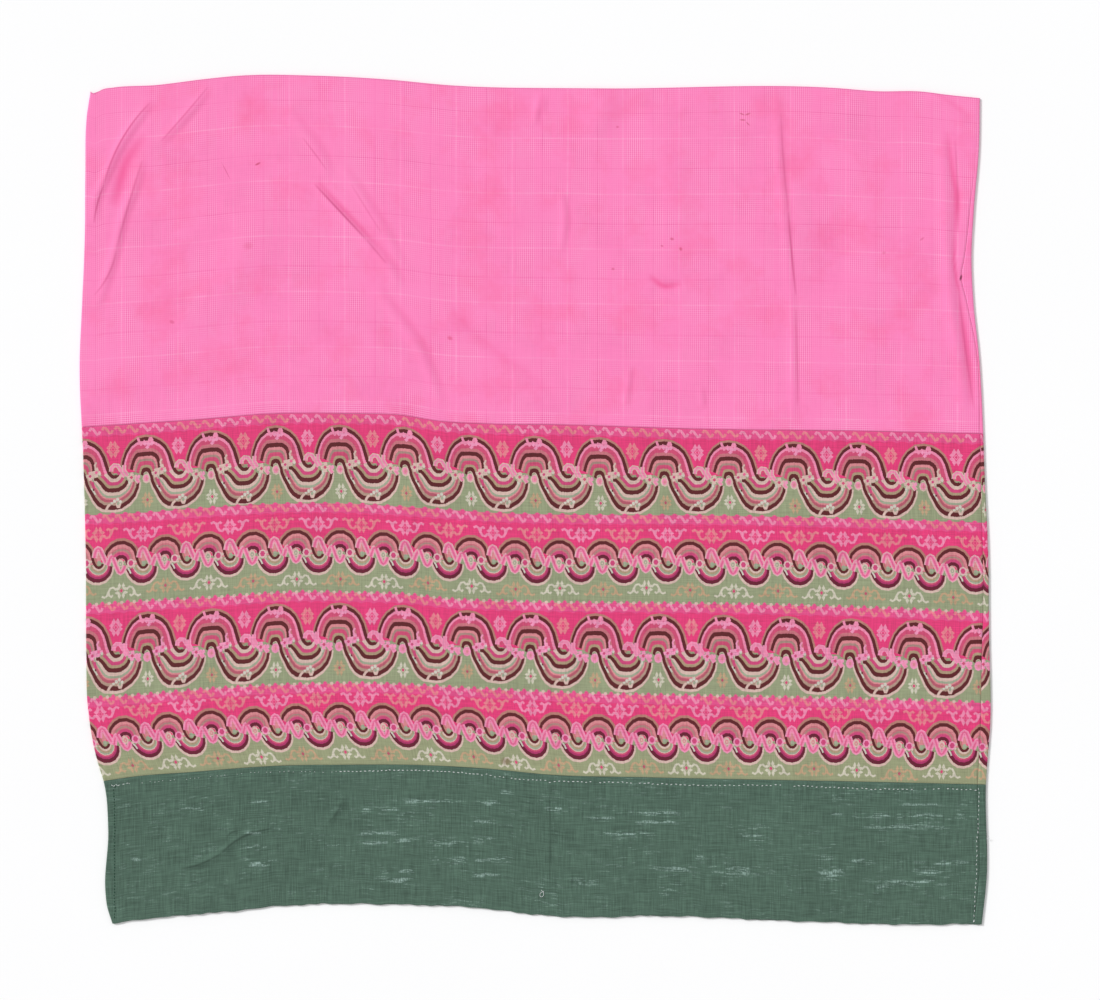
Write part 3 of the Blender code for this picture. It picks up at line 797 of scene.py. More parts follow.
# Rows of the panel: top, depth, pitch, X of a crown on the front, kind of wave, how far up its shapes sit,
# the dyes of their trim and of the lower ground, whether the upper edge has cream tips, and whether the even
# flowers above and below the wave are the light ones
Row = namedtuple("Row", "top deep pitch crown_x wave lift trim lower_ground tips upper_even lower_even")
ROWS = [
    Row(0, 95, 69.2, -415.8, "large", 0, "cream", "sage", False, True, False),
    Row(95, 95, 46.75, -442.6, "small", 0, "shell", "sage", False, True, True),
    Row(190, 98, 68.4, -414.6, "large", 0, "petal_pink", "sage", True, False, True),
    Row(288, 88, 46.45, -438.0, "small", 4.8, "petal_pink", "moss", True, False, False),
]


def weave_border(chart, row, start, end, shift):
    """The squiggles along a row's upper edge, in threes of two dyes, and its teeth."""
    for count, x in enumerate(np.arange(start + shift % SQUIGGLE_PITCH, end - 2, SQUIGGLE_PITCH)):
        dye = "light_pink" if (count // 3) % 2 == 0 else "tan_on_pink"
        line = np.array(SQUIGGLE) * (1, 1 + rng.normal(0, 0.04)) + (x, row.top + rng.normal(0, 0.2))
        plain = unseen(x, 30)
        chart.blob("border_ground", x + 1.6, row.top + BORDER_DEEP, 4.6, 1.7, 4)
        chart.ribbon(dye, line[::2] if plain else line, SQUIGGLE_WIDTH)
        if row.tips and not plain:
            chart.blob("cream", x - 0.6, row.top + 0.8, 2.1, 2.0, 5)
        if row.tips:
            chart.blob("border_ground", x + 5.6, row.top + 0.4, 2.6, 2.4, 4)
        elif row.top:
            chart.blob("border_ground", x + 5.2, row.top + 0.6, 3.2, 1.4, 4)


def weave_row(chart, row, start, end, shift):
    """One row of the pattern between two places round the tube. A crown lies at a shift from the start."""
    middle = row.top + GROUND_TURN - row.lift
    edge = row.top + (TOOTH_GAP if row.top else 0)
    foot, border = row.top + row.deep, row.top + BORDER_DEEP
    grounds = [("sage", row.top, edge), ("pink_ground", edge, middle), (row.lower_ground, middle, foot)]
    for dye, upper, lower in grounds + [("border_ground", edge, border)]:
        chart.fill(dye, [(start, upper), (end, upper), (end, lower), (start, lower)])
    weave_border(chart, row, start, end, shift)
    first = start + (shift + 200 * row.pitch) % row.pitch - row.pitch
    crowns = np.arange(first, end + row.pitch, row.pitch)
    repeats = [Repeat(chart, crown, row.top - row.lift) for crown in crowns]
    for number in KINDS[row.wave]:
        for repeat in repeats:
            repeat.wave(number)
    draw = large_repeat if row.wave == "large" else small_repeat
    for count, repeat in enumerate(repeats):
        even = count % 2 == 0
        draw(repeat, row.trim, even == row.upper_even, even == row.lower_even)


def clip(points, axis, limit, keep_above):
    """Cuts a shape off along a straight line."""
    sign = 1 if keep_above else -1
    inside = (points[:, axis] - limit) * sign
    kept = []
    for i in range(len(points)):
        j = (i + 1) % len(points)
        if inside[i] >= 0:
            kept.append(points[i])
        if inside[i] * inside[j] < 0:
            t = inside[i] / (inside[i] - inside[j])
            kept.append(points[i] + t * (points[j] - points[i]))
    return np.array(kept).reshape(-1, 2)


def place_across(points, quads):
    """How far across its four-sided shape each point lies, from the first side (0) to the third (1)."""
    a, b, c, d = (quads[:, None, i] for i in range(4))

    def turn(u, v):
        return u[..., 0] * v[..., 1] - u[..., 1] * v[..., 0]

    side, way, twist, off = b - a, d - a, a - b + c - d, points - a
    k2, k1, k0 = turn(twist, way), turn(side, way) + turn(off, twist), turn(off, side)
    k2 = np.broadcast_to(k2, k1.shape)
    straight = np.abs(k2) < 1e-6 * np.abs(k1)
    root = np.sqrt(np.maximum(k1**2 - 4 * k0 * k2, 0))
    safe = np.where(straight, 1, 2 * k2)
    one, two = (-k1 - root) / safe, (-k1 + root) / safe
    best = np.where(np.abs(one - 0.5) < np.abs(two - 0.5), one, two)
    return np.clip(np.where(straight, -k0 / np.where(k1 == 0, 1, k1), best), 0, 1)


# Steps on the back and on the front between guide points, along the long edges and along the rows. Then how
# many points go down the side seam, and the spacing of single ones that keep the front's triangles small
EDGE_STEPS, ROW_STEPS = (14.0, 6.0), (22.0, 10.0)
POINTS_DOWN = 48
SINGLE_SPACING = 11.0


def cloth_frame(panel):
    """Lines of points that keep the flat layout close to the cloth's bends: edges, seams, folds and rows."""
    start, end = FRONT_TO_SEAM, SEAM_AGAIN
    near_edges = (0, 0.8, 1.8, panel.deep - 1.8, panel.deep - 0.8, panel.deep)
    near_rows = [row.top + d for row in ROWS for d in (0, BORDER_DEEP, GROUND_TURN - row.lift)]
    near_rows = [depth for depth in near_rows if depth > 0]
    lines = []
    for depths, (back_step, front_step) in ((near_edges, EDGE_STEPS), (near_rows, ROW_STEPS)):
        back = np.arange(FRONT_WIDTH + 8, ROUND - 4, back_step)
        front = np.arange(ROUND + 6, end - 4, front_step)
        stations = np.concatenate([[start], back, front, [end]])
        lines += [np.array([(x, depth) for x in stations]) for depth in depths]
    downs = np.linspace(0, panel.deep, POINTS_DOWN)
    lines += [np.array([(side, depth) for depth in downs]) for side in (start, end)]
    at_seam = np.array([0.8, 1.8])
    columns = np.concatenate([FOLD_COLUMNS, end - at_seam, start + at_seam])
    lines += [np.array([(column, 0), (column, panel.deep)]) for column in columns]
    rounds, downs = (np.arange(*run, SINGLE_SPACING) for run in ((ROUND + 6, end - 3), (5, panel.deep - 4)))
    return lines + [point[None] for point in np.stack(np.meshgrid(rounds, downs), -1).reshape(-1, 2)]


def triangles_between(lines):
    """Triangles that have every given line among their edges, in their order round the tube."""
    points, edges = [], []
    for corners in lines:
        edges.extend((len(points) + i, len(points) + i + 1) for i in range(len(corners) - 1))
        points.extend(corners)
    made = delaunay_2d_cdt([Vector(p) for p in np.array(points)], edges, [], 0, 2e-3, False)
    flat = np.array([list(v) for v in made[0]])
    faces = np.array([list(face) for face in made[2]])[:, ::-1]
    return flat, faces[np.argsort(flat[faces].mean(1)[:, 0])]


def top_shape(flat, faces, woven):
    """Which shape lies on top at each triangle."""
    middle = flat[faces].mean(1)
    owner = np.zeros(len(faces), int)
    for number, (shape, *_) in enumerate(woven):
        low, high = shape.min(0), shape.max(0)
        i, j = np.searchsorted(middle[:, 0], [low[0], high[0]])
        near = i + np.flatnonzero((middle[i:j, 1] > low[1]) & (middle[i:j, 1] < high[1]))
        x, y = middle[near].T
        inside = np.zeros(len(near), bool)
        for (x0, y0), (x1, y1) in zip(shape, np.roll(shape, -1, axis=0)):
            if y0 != y1:
                inside ^= ((y0 > y) != (y1 > y)) & (x < (x1 - x0) * (y - y0) / (y1 - y0) + x0)
        owner[near[inside]] = number
    return owner


# A point is left out of an edge that bends less than this there, unless the edge would grow longer than this
STRAIGHT_ENOUGH = 0.03
LONGEST_EDGE = 7.0


def visible_lines(flat, faces, look):
    """Only the edges where the look changes, with points left out of straight runs."""
    pairs = np.sort(np.concatenate([faces[:, [0, 1]], faces[:, [1, 2]], faces[:, [2, 0]]]), axis=1)
    looks = np.tile(look, 3)
    order = np.lexsort((pairs[:, 1], pairs[:, 0]))
    pairs, looks = pairs[order], looks[order]
    same = np.flatnonzero((pairs[1:] == pairs[:-1]).all(1))
    near = {}
    for i, j in pairs[same[looks[same] != looks[same + 1]]].tolist():
        near.setdefault(i, set()).add(j)
        near.setdefault(j, set()).add(i)
    for i in list(near):
        if len(near[i]) != 2:
            continue
        j, k = near[i]
        u, v = flat[i] - flat[j], flat[k] - flat[i]
        long_u, long_v = np.hypot(*u), np.hypot(*v)
        straight = abs(u[0] * v[1] - u[1] * v[0]) < STRAIGHT_ENOUGH * long_u * long_v and u @ v > 0
        if straight and long_u + long_v < LONGEST_EDGE and k not in near[j]:
            del near[i]
            near[j].remove(i)
            near[j].add(k)
            near[k].remove(i)
            near[k].add(j)
    return [flat[[i, j]] for i in near for j in near[i] if i < j]


# A shape of the pattern as cut off at the panel's edges, and whole
Woven = namedtuple("Woven", "shape dye band whole")


def woven_shapes(panel):
    """Every shape of the pattern that lies on the panel, in the order they are woven in."""
    chart = Chart()
    for row in ROWS:
        crown = panel.around_at(np.array([row.crown_x]), np.array([row.top + row.deep / 2]))[0]
        weave_row(chart, row, FRONT_TO_SEAM, SEAM_AGAIN, crown - FRONT_TO_SEAM)
    edges = ((0, FRONT_TO_SEAM, True), (0, SEAM_AGAIN, False), (1, 0.0, True), (1, panel.deep, False))
    woven = []
    for whole, dye, band in zip(chart.shapes, chart.dyes, chart.bands):
        shape = whole
        for axis, limit, keep_above in edges:
            shape = clip(shape, axis, limit, keep_above) if len(shape) else shape
        if len(shape) > 2:
            woven.append(Woven(shape, dye, band, whole))
    return woven


def woven_layout(panel):
    """The patterned panel's outer face as flat triangles, with the dye or the band of each."""
    woven = woven_shapes(panel)
    kept_lines = cloth_frame(panel)
    flat, faces = triangles_between(kept_lines + [np.concatenate([w.shape, w.shape[:1]]) for w in woven])
    numbers = {}
    looks = [numbers.setdefault(number if w.band else w.dye, len(numbers)) for number, w in enumerate(woven)]
    look = np.array(looks)[top_shape(flat, faces, woven)]
    flat, faces = triangles_between(kept_lines + visible_lines(flat, faces, look))
    owner = top_shape(flat, faces, woven)
    dyes = np.array([linear(*DYES[w.dye]) for w in woven])[owner]
    banded = np.flatnonzero([woven[i].band is not None for i in owner])
    quads = np.array([woven[i].whole for i in owner[banded]])
    wave_number, from_place, to_place = np.array([woven[i].band for i in owner[banded]], float).T[:, :, None]
    place = from_place + place_across(flat[faces[banded]], quads) * (to_place - from_place)
    bands = np.zeros((len(faces), 3, 2))
    bands[banded, :, 0] = (place - PLACE_LOW) / PLACE_SPAN
    bands[banded, :, 1] = wave_number * BAND_STEP
    used = np.unique(faces)
    renumber = np.zeros(len(flat), int)
    renumber[used] = np.arange(len(used))
    return flat[used], renumber[faces].tolist(), dyes, bands


hem = Panel("hem_panel", HEM_LINES, False, True)
pattern = Panel("patterned_panel", PATTERN_LINES, True, True)
waistband = Panel("waistband", BAND_LINES, True, False, frayed=True)

hem_net = grid_layout(hem, front_step=2.8, back_step=16.0, down_step=2.8)
# The silk keeps the depth of its creases as painted shade for its hollows
hem_cloth = cloth_shell(hem, *hem_net, inner_step=6.0, worn=crease_shade_depth)
woven_points, woven_faces, woven_dyes, woven_bands = woven_layout(pattern)
pattern_cloth = cloth_shell(
    pattern, woven_points, woven_faces, inner_step=16.0, dyes=woven_dyes, bands=woven_bands,
)
waistband_net = grid_layout(waistband, front_step=2.8, back_step=14.0, down_step=1.6)
waistband_cloth = cloth_shell(waistband, *waistband_net, inner_step=8.0, worn=thinness)


class Nodes:
    """A material's or a group's nodes, with short ways to add the kinds that the cloths need."""

    def __init__(self, tree):
        self.tree = tree

    def join(self, target, value):
        """Links a socket to another, or sets it to a value."""
        if isinstance(value, bpy.types.NodeSocket):
            self.tree.links.new(value, target)
        elif value is not None:
            target.default_value = value

    def add(self, kind, inputs=None, **settings):
        """A shader node with its settings made and its inputs set or linked."""
        made = self.tree.nodes.new("ShaderNode" + kind)
        for name, value in settings.items():
            setattr(made, name, value)
        for name, value in (inputs or {}).items():
            self.join(made.inputs[name], value)
        return made

    def use(self, made_group, inputs):
        return self.add("Group", inputs, node_tree=made_group).outputs

    def maths(self, operation, first, second=None, third=None, clamp=False):
        inputs = {0: first, 1: second, 2: third}
        return self.add("Math", inputs, operation=operation, use_clamp=clamp).outputs[0]

    def times(self, first, *others):
        for other in others:
            first = self.maths("MULTIPLY", first, other)
        return first

    def plus(self, first, *others):
        for other in others:
            first = self.maths("ADD", first, other)
        return first

    def less(self, first, second):
        return self.maths("SUBTRACT", first, second)

    def ratio_squared(self, first, second):
        return self.maths("POWER", self.maths("ABSOLUTE", self.maths("DIVIDE", first, second)), 2.0)

    def span(self, value, low, high, to_low=0.0, to_high=1.0):
        """The value's way from low to high, as a value from to_low to to_high."""
        return self.add("MapRange", {0: value, 1: low, 2: high, 3: to_low, 4: to_high}).outputs[0]

    def noise(self, vector, scale=1.0, detail=2.0, roughness=0.5, **settings):
        inputs = {"Vector": vector, "Scale": scale, "Detail": detail, "Roughness": roughness}
        return self.add("TexNoise", inputs, **settings).outputs["Fac"]

    def stretch(self, vector, x, y):
        """The vector scaled by x round the cloth and by y down it."""
        return self.add("Mapping", {"Vector": vector, "Scale": (x, y, 1.0)}).outputs[0]

    def vector(self, operation, first, second):
        return self.add("VectorMath", {0: first, 1: second}, operation=operation).outputs[0]

    def axes(self, vector):
        return self.add("SeparateXYZ", {0: vector}).outputs

    def axes_about(self, vector, centre, angle):
        """The vector as seen from a centre along a turned X and Y."""
        moved = self.vector("SUBTRACT", vector, centre)
        return self.axes(
            self.add("VectorRotate", {"Vector": moved, "Angle": angle}, rotation_type="Z_AXIS").outputs[0]
        )

    def on_front(self, place):
        """1 on the front of the garment, 0 under it."""
        return self.maths("GREATER_THAN", self.axes(place)["Z"], ON_FRONT * MM)

    def shade_kept(self, name):
        return self.add("Attribute", attribute_name=name).outputs

    def mix(self, share, first, second, blend="MIX"):
        inputs = {0: share, 6: first, 7: second}
        return self.add("Mix", inputs, data_type="RGBA", blend_type=blend).outputs[2]

    def ramp(self, value, stops, interpolation="CONSTANT"):
        """Colours by value. Each stop is a place and a colour."""
        made = self.add("ValToRGB", {"Fac": value})
        made.color_ramp.interpolation = interpolation
        elements = made.color_ramp.elements
        elements.remove(elements[1])
        for i, (place, colour) in enumerate(stops):
            element = elements[0] if i == 0 else elements.new(place)
            element.position = place
            element.color = tuple(colour) + (1.0,)
        return made.outputs["Color"]

    def toned(self, colour, shade, dark, plain, light):
        """The colour made darker and lighter by an uneven shade, which is plain at 0.5."""
        stops = [(0.0, dark), (0.5, plain), (1.0, light)]
        return self.mix(1.0, colour, self.ramp(shade, stops, "LINEAR"), "MULTIPLY")


def group(name, inputs, outputs):
    """An empty node group that takes a vector and the named inputs, what it takes and what it gives."""
    tree = bpy.data.node_groups.new(name, "ShaderNodeTree")
    tree.interface.new_socket(name="Vector", in_out="INPUT", socket_type="NodeSocketVector")
    for label, value in inputs.items():
        kind = "NodeSocketVector" if isinstance(value, tuple) else "NodeSocketFloat"
        tree.interface.new_socket(name=label, in_out="INPUT", socket_type=kind).default_value = value
    for label in outputs:
        tree.interface.new_socket(name=label, in_out="OUTPUT", socket_type="NodeSocketFloat")
    return Nodes(tree), tree.nodes.new("NodeGroupInput").outputs, tree.nodes.new("NodeGroupOutput").inputs


def plain_weave():
    """Threads crossing over and under, with uneven thickness. The threads are counted for each metre."""
    counts = {"Threads Round": 2200.0, "Threads Down": 2200.0, "Unevenness": 0.5}
    n, taken, given = group("Plain weave", counts, ["Height", "Tone"])
    parts = n.axes(taken["Vector"])
    crossing_round = n.maths("SINE", n.times(parts["X"], taken["Threads Round"], pi))
    crossing_down = n.maths("SINE", n.times(parts["Y"], taken["Threads Down"], pi))
    over = n.times(crossing_round, crossing_down)
    swells = [n.noise(n.stretch(taken["Vector"], *by), detail=3.0) for by in ((40, 900), (900, 40))]
    tone = n.times(n.less(n.plus(*swells), 1.0), taken["Unevenness"])
    n.join(given["Height"], n.maths("MULTIPLY_ADD", over, 0.35, n.plus(tone, 0.5)))
    n.join(given["Tone"], tone)
    return n.tree


def cloudy_tone():
    """Cloudy unevenness of tone over a hand's breadth."""
    n, taken, given = group("Cloudy tone", {"Scale": 12.0, "Strength": 0.1}, ["Tone"])
    clouds = n.noise(taken["Vector"], taken["Scale"], 4.0, 0.6)
    n.join(given["Tone"], n.times(n.less(clouds, 0.5), taken["Strength"]))
    return n.tree


def cloth_mark():
    """A mark on the cloth: an oval with a ragged edge, or a thin scratch when narrow."""
    n, taken, given = group(
        "Cloth mark",
        {"Centre": (0, 0, 0), "Turn": 0.0, "Half Length": 0.01, "Half Width": 0.005, "Raggedness": 0.6},
        ["Mask"],
    )
    parts = n.axes_about(taken["Vector"], taken["Centre"], taken["Turn"])
    rag = n.times(n.less(n.noise(taken["Vector"], 420.0, 3.0), 0.5), taken["Raggedness"])
    longways = n.ratio_squared(parts["X"], taken["Half Length"])
    sideways = n.ratio_squared(parts["Y"], taken["Half Width"])
    reach = n.maths("SMOOTH_MIN", n.plus(longways, sideways, rag), 1.0, 0.3)
    n.join(given["Mask"], n.maths("SUBTRACT", 1.0, reach, clamp=True))
    return n.tree


def crease_shade_line():
    """A sharp dark line of painted shade along a crease, bowed by its sag, fading at both ends."""
    n, taken, given = group(
        "Crease shade line",
        {"Centre": (0, 0, 0), "Turn": 0.0, "Half Length": 0.02, "Sag": 0.0, "Half Width": 0.001}, ["Mask"],
    )
    parts = n.axes_about(taken["Vector"], taken["Centre"], taken["Turn"])
    inside = n.maths("SUBTRACT", 1.0, n.ratio_squared(parts["X"], taken["Half Length"]), clamp=True)
    off = n.ratio_squared(n.less(parts["Y"], n.times(taken["Sag"], inside)), taken["Half Width"])
    line = n.maths("POWER", e, n.times(off, -1.0))
    n.join(given["Mask"], n.times(line, n.maths("POWER", inside, 0.5)))
    return n.tree


# Fine check: light lines and dark lines in a common repeat both ways, with groups of close pale threads
# between. Each entry is a place in the repeat and a shade from there on: 0 dark, 0.5 plain, 1 light
CHECK_LINES = [(0.0, 0.92), (0.020, 0.5), (0.54, 0.06), (0.557, 0.5)]
CHECK_GROUPS = [(0.0, 0.2), (0.07, 1.0), (0.40, 0.45), (0.55, 0.9), (0.72, 0.2), (0.80, 0.8), (0.94, 0.2)]
# Where the pale threads close together above the lower seam begin, in metres down the cloth
CLOSE_FROM, CLOSE_FULL = 0.3485, 0.3515


def fine_check():
    """The check's light and dark, with patches where it shows less and a slight sway of its threads."""
    n, taken, given = group(
        "Fine check",
        {"Repeat Round": 0.0596, "Repeat Down": 0.0591, "Start Round": 0.0, "Start Down": 0.0,
         "Thread Pairs": 0.0022},
        ["Light", "Dark"],
    )
    wander = n.add("TexNoise", {"Vector": taken["Vector"], "Scale": 9.0, "Detail": 2.0}).outputs["Color"]
    wander = n.vector("MULTIPLY", n.vector("SUBTRACT", wander, (0.5,) * 3), (0.003,) * 3)
    parts = n.axes(n.vector("ADD", taken["Vector"], wander))
    lines, pairs = [], []
    for axis, way, strength in (("X", "Round", 0.36), ("Y", "Down", 0.18)):
        off = n.less(parts[axis], taken["Start " + way])
        place = n.maths("FRACT", n.maths("DIVIDE", off, taken["Repeat " + way]))
        in_lines, in_groups = (
            n.ramp(place, [(p, (shade,) * 3) for p, shade in stops]) for stops in (CHECK_LINES, CHECK_GROUPS)
        )
        threads = n.maths("SINE", n.maths("DIVIDE", off, n.maths("DIVIDE", taken["Thread Pairs"], 2 * pi)))
        lines.append(in_lines)
        pairs.append(n.times(threads, in_groups, strength))
    patchy = n.span(n.noise(taken["Vector"], 26.0), 0.35, 0.65, 0.3, 1.0)
    shade = n.maths("MULTIPLY_ADD", n.plus(*pairs), 1.6, n.less(n.plus(*lines), 1.0))
    close_threads = n.times(threads, n.span(parts["Y"], CLOSE_FROM, CLOSE_FULL), n.times(patchy, 0.35))
    shade = n.plus(n.times(shade, patchy), close_threads)
    n.join(given["Light"], n.maths("MAXIMUM", shade, 0.0))
    n.join(given["Dark"], n.maths("MAXIMUM", n.times(shade, -1.0), 0.0))
    return n.tree


def thread_slubs():
    """Slubs and thin places: short pale lengths of thread, thick on the threads where the weave is thin."""
    n, taken, given = group("Slubs", {"Thread": 0.0011, "Thin": 0.0, "Everywhere": 0.12}, ["Mask"])
    parts = n.axes(taken["Vector"])
    thread = n.maths("FLOOR", n.maths("DIVIDE", parts["Y"], taken["Thread"]))
    along = n.add("CombineXYZ", {"X": n.times(parts["X"], 60.0), "Y": n.times(thread, 7.31)}).outputs[0]
    run = n.maths("MULTIPLY_ADD", taken["Thin"], 0.2, n.noise(along, noise_dimensions="2D"))
    ticks = n.span(n.noise(n.stretch(taken["Vector"], 800, 300)), 0.40, 0.60)
    spread = n.noise(n.stretch(taken["Vector"], 22, 45), detail=3.0)
    spread = n.span(spread, 0.45, 0.7, to_high=taken["Everywhere"])
    level = n.times(n.span(run, 0.60, 0.68), n.maths("MULTIPLY_ADD", ticks, 0.8, 0.2))
    level = n.times(level, n.plus(taken["Thin"], spread))
    n.join(given["Mask"], n.maths("MINIMUM", level, 1.0))
    return n.tree


weave, cloud, mark, shade_line_group, check, slubs = (
    make() for make in (plain_weave, cloudy_tone, cloth_mark, crease_shade_line, fine_check, thread_slubs)
)


def colour_of(*shade):
    return linear(*shade) + (1.0,)


class ClothMaterial(Nodes):
    """A cloth's material, with the cloth's own measure and the place on the garment, both in metres."""

    def __init__(self, name, roughness, sheen):
        self.material = bpy.data.materials.new(name)
        self.material.use_nodes = True
        super().__init__(self.material.node_tree)
        self.tree.nodes.clear()
        self.surface = self.add("BsdfPrincipled", {
            "Roughness": roughness, "Sheen Weight": sheen, "Sheen Roughness": 0.6, "Specular IOR Level": 0.3,
        })
        self.add("OutputMaterial", {"Surface": self.surface.outputs[0]})
        self.measure = self.add("UVMap", uv_map="Cloth").outputs[0]
        self.place = self.add("TexCoord").outputs["Object"]

    def woven(self, threads_round, threads_down, unevenness):
        return self.use(weave, {
            "Vector": self.measure, "Threads Round": threads_round, "Threads Down": threads_down,
            "Unevenness": unevenness,
        })

    def shaded(self, threads, thread_share, scale, strength):
        """An uneven shade round 0.5, from clouds of tone and the threads' own."""
        clouds = self.use(cloud, {"Vector": self.measure, "Scale": scale, "Strength": strength})
        return self.plus(clouds["Tone"], self.times(threads["Tone"], thread_share), 0.5)

    def spot(self, left):
        """Where one of the marks left on the cloth lies, on the front and under it."""
        return self.use(mark, {
            "Vector": self.place, "Centre": (left.x * MM, left.y * MM, 0.0), "Turn": left.turn,
            "Half Length": left.half_long * MM, "Half Width": left.half_wide * MM,
        })["Mask"]

    def marked(self, colour, marks):
        """The colour with marks on the front."""
        front = self.on_front(self.place)
        for left in marks:
            colour = self.mix(self.times(self.spot(left), front, left.strength), colour, colour_of(*left.dye))
        return colour

    def with_crease_shade(self, colour, lines, dye):
        """The colour with sharp lines of painted crease shade on the front."""
        front = self.on_front(self.place)
        for line in lines:
            start, middle, end = (Vector((*point, 0.0)) for point in (line.start, line.middle, line.end))
            run, centre = end - start, (start + end) / 2
            turn, half = atan2(run.y, run.x), hypot(run.x, run.y) / 2
            aside = Matrix.Rotation(-turn, 3, "Z") @ (middle - centre)
            sag = aside.y / (1 - (aside.x / half) ** 2)
            mask = self.use(shade_line_group, {
                "Vector": self.place, "Centre": centre * MM, "Turn": -turn, "Half Length": half * MM,
                "Sag": sag * MM, "Half Width": line.half_wide * MM,
            })["Mask"]
            # Each line mixes in the given colour of painted crease shade
            colour = self.mix(self.times(mask, front, line.strength), colour, colour_of(*dye))
        return colour

    def finished(self, colour, height, strength, depth):
        """The material with its colour and its relief, whose full depth is in mm."""
        bump = self.add("Bump", {"Height": height, "Strength": strength, "Distance": depth * MM})
        self.join(self.surface.inputs["Base Color"], colour)
        self.join(self.surface.inputs["Normal"], bump.outputs[0])
        return self.material


Mark = namedtuple("Mark", "x y turn half_long half_wide dye strength")
Line = namedtuple("Line", "start middle end half_wide strength")
# Marks that wear has left on the pink silk, and last a dark spot on the side seam
SILK_MARKS = [Mark(*row) for row in (
    (221.4, 413.0, 0.35, 3.4, 1.0, (196, 70, 96), 0.75), (227.6, 413.0, -0.3, 3.6, 1.2, (196, 70, 96), 0.7),
    (222.0, 406.7, 0.05, 4.0, 1.0, (196, 70, 96), 0.75), (227.7, 402.6, 0.8, 3.2, 0.9, (196, 70, 96), 0.6),
    (-296.7, 359.7, -0.46, 3.8, 1.3, (200, 56, 96), 0.8),
    (-330.8, 352.0, 1.1, 11.5, 0.7, (206, 60, 110), 0.5), (146.4, 279.3, 0.2, 2.6, 1.9, (206, 56, 100), 0.6),
    (155.7, 268.6, 1.2, 2.6, 2.0, (206, 56, 100), 0.65), (135.7, 271.8, 0.4, 1.9, 1.4, (206, 56, 100), 0.5),
    (83.3, 247.2, 0.0, 2.2, 1.6, (206, 56, 100), 0.55), (88.1, 399.1, 0.0, 1.9, 1.5, (206, 56, 100), 0.45),
    (-91.1, 173.3, 0.5, 3.6, 2.6, (222, 60, 110), 0.55), (413.9, 279.3, -0.6, 3.4, 1.4, (214, 70, 120), 0.5),
    (373.3, 264.3, 0.0, 2.6, 2.0, (226, 80, 130), 0.4), (-307.2, 271.8, 0.0, 6.4, 4.6, (222, 66, 116), 0.3),
    (-388.6, 190.5, 0.4, 3.4, 2.2, (216, 66, 116), 0.5), (455.6, 238.0, -1.3, 4.2, 1.6, (120, 30, 60), 0.9),
)]
# Dark lines of painted shade along the silk's main creases: start, middle and end in mm, half width and
# strength
SILK_CREASE_SHADES = [Line(*row) for row in (
    ((-412, 425), (-443, 384), (-461, 338), 1.1, 0.75), ((-461, 338), (-468, 318), (-472, 296), 1.0, 0.7),
    ((-350, 442), (-376, 411), (-401, 383), 1.1, 0.5), ((-420, 364), (-436, 312), (-448, 268), 1.3, 0.5),
    ((-448, 268), (-456, 242), (-472, 219), 1.2, 0.5), ((-249, 388), (-236, 371), (-223, 353), 1.0, 0.4),
    ((-236, 338), (-208, 308), (-181, 279), 1.2, 0.8), ((-181, 279), (-170, 266), (-159, 253), 1.1, 0.4),
    ((-197, 338), (-181, 312), (-164, 285), 1.1, 0.3), ((263, 415), (266, 359), (271, 309), 1.1, 0.4),
    ((271, 309), (275, 258), (279, 219), 1.2, 0.75), ((279, 205), (280, 165), (281, 100), 1.1, 0.4),
    ((449, 385), (452, 334), (452, 284), 1.2, 0.45), ((452, 236), (457, 190), (470, 96), 1.2, 0.45),
)]
# Dark lines of painted shade along the green cotton's creases, in the same way
COTTON_CREASE_SHADES = [Line(*row) for row in (
    ((-380, -395), (-350, -386), (-335, -377.5), 1.1, 0.6),
    ((-335, -377.5), (-313, -360.5), (-300, -355.5), 1.3, 0.7),
    ((-300, -355.5), (-291, -353.5), (-280, -350), 1.1, 0.5),
    ((-330, -361), (-325, -356), (-318, -354.5), 1.0, 0.5),
    ((-223, -346), (-213, -336), (-206, -319.5), 1.2, 0.35),
    ((14.5, -297), (16, -352), (15, -410), 1.0, 0.45),
)]
TAPESTRY_STAIN = Mark(-31.0, -279.5, 0.0, 7.0, 5.0, (110, 62, 40), 0.55)


def checked_silk():
    """Plain silk: shot pink with a fine check, blotches, marks of wear, and painted shade: deeper pink in
    crease hollows, lines along creases and a line along the hem edge.
    """
    m = ClothMaterial("checked_silk", 0.5, 0.12)
    lines = m.use(check, {"Vector": m.measure, "Start Round": 0.0104, "Start Down": -0.0055})
    threads = m.woven(2200.0, 2200.0, 0.5)
    light = m.maths("MULTIPLY", lines["Light"], 0.85, clamp=True)
    dark = m.maths("MULTIPLY", lines["Dark"], 0.9, clamp=True)
    colour = m.mix(light, colour_of(255, 130, 190), colour_of(255, 180, 216))
    colour = m.mix(dark, colour, colour_of(236, 96, 160))
    blotch = m.span(m.noise(m.measure, 15.0, 4.0, 0.65), 0.50, 0.74, to_high=0.55)
    colour = m.mix(blotch, colour, colour_of(250, 104, 158))
    # Painted shade: a deeper pink in the creases' hollows and on their shaded sides
    hollow = m.times(m.shade_kept("Worn")["Fac"], 0.75)
    colour = m.mix(hollow, colour, colour_of(244, 84, 150))
    shade = m.shaded(threads, 0.4, 16.0, 0.5)
    colour = m.toned(colour, shade, (0.8, 0.66, 0.74), (1, 1, 1), (1.0, 1.3, 1.15))
    colour = m.marked(colour, SILK_MARKS)
    # Painted shade: dark lines along the main creases
    colour = m.with_crease_shade(colour, SILK_CREASE_SHADES, (212, 76, 134))
    # Painted shade: a darker line along the rolled hem edge
    hem_edge_shade = m.span(m.axes(m.measure)["Y"], 0.0018, 0.0008)
    colour = m.mix(m.times(hem_edge_shade, 0.5), colour, colour_of(206, 98, 146))
    return m.finished(colour, threads["Height"], 0.25, 0.3)


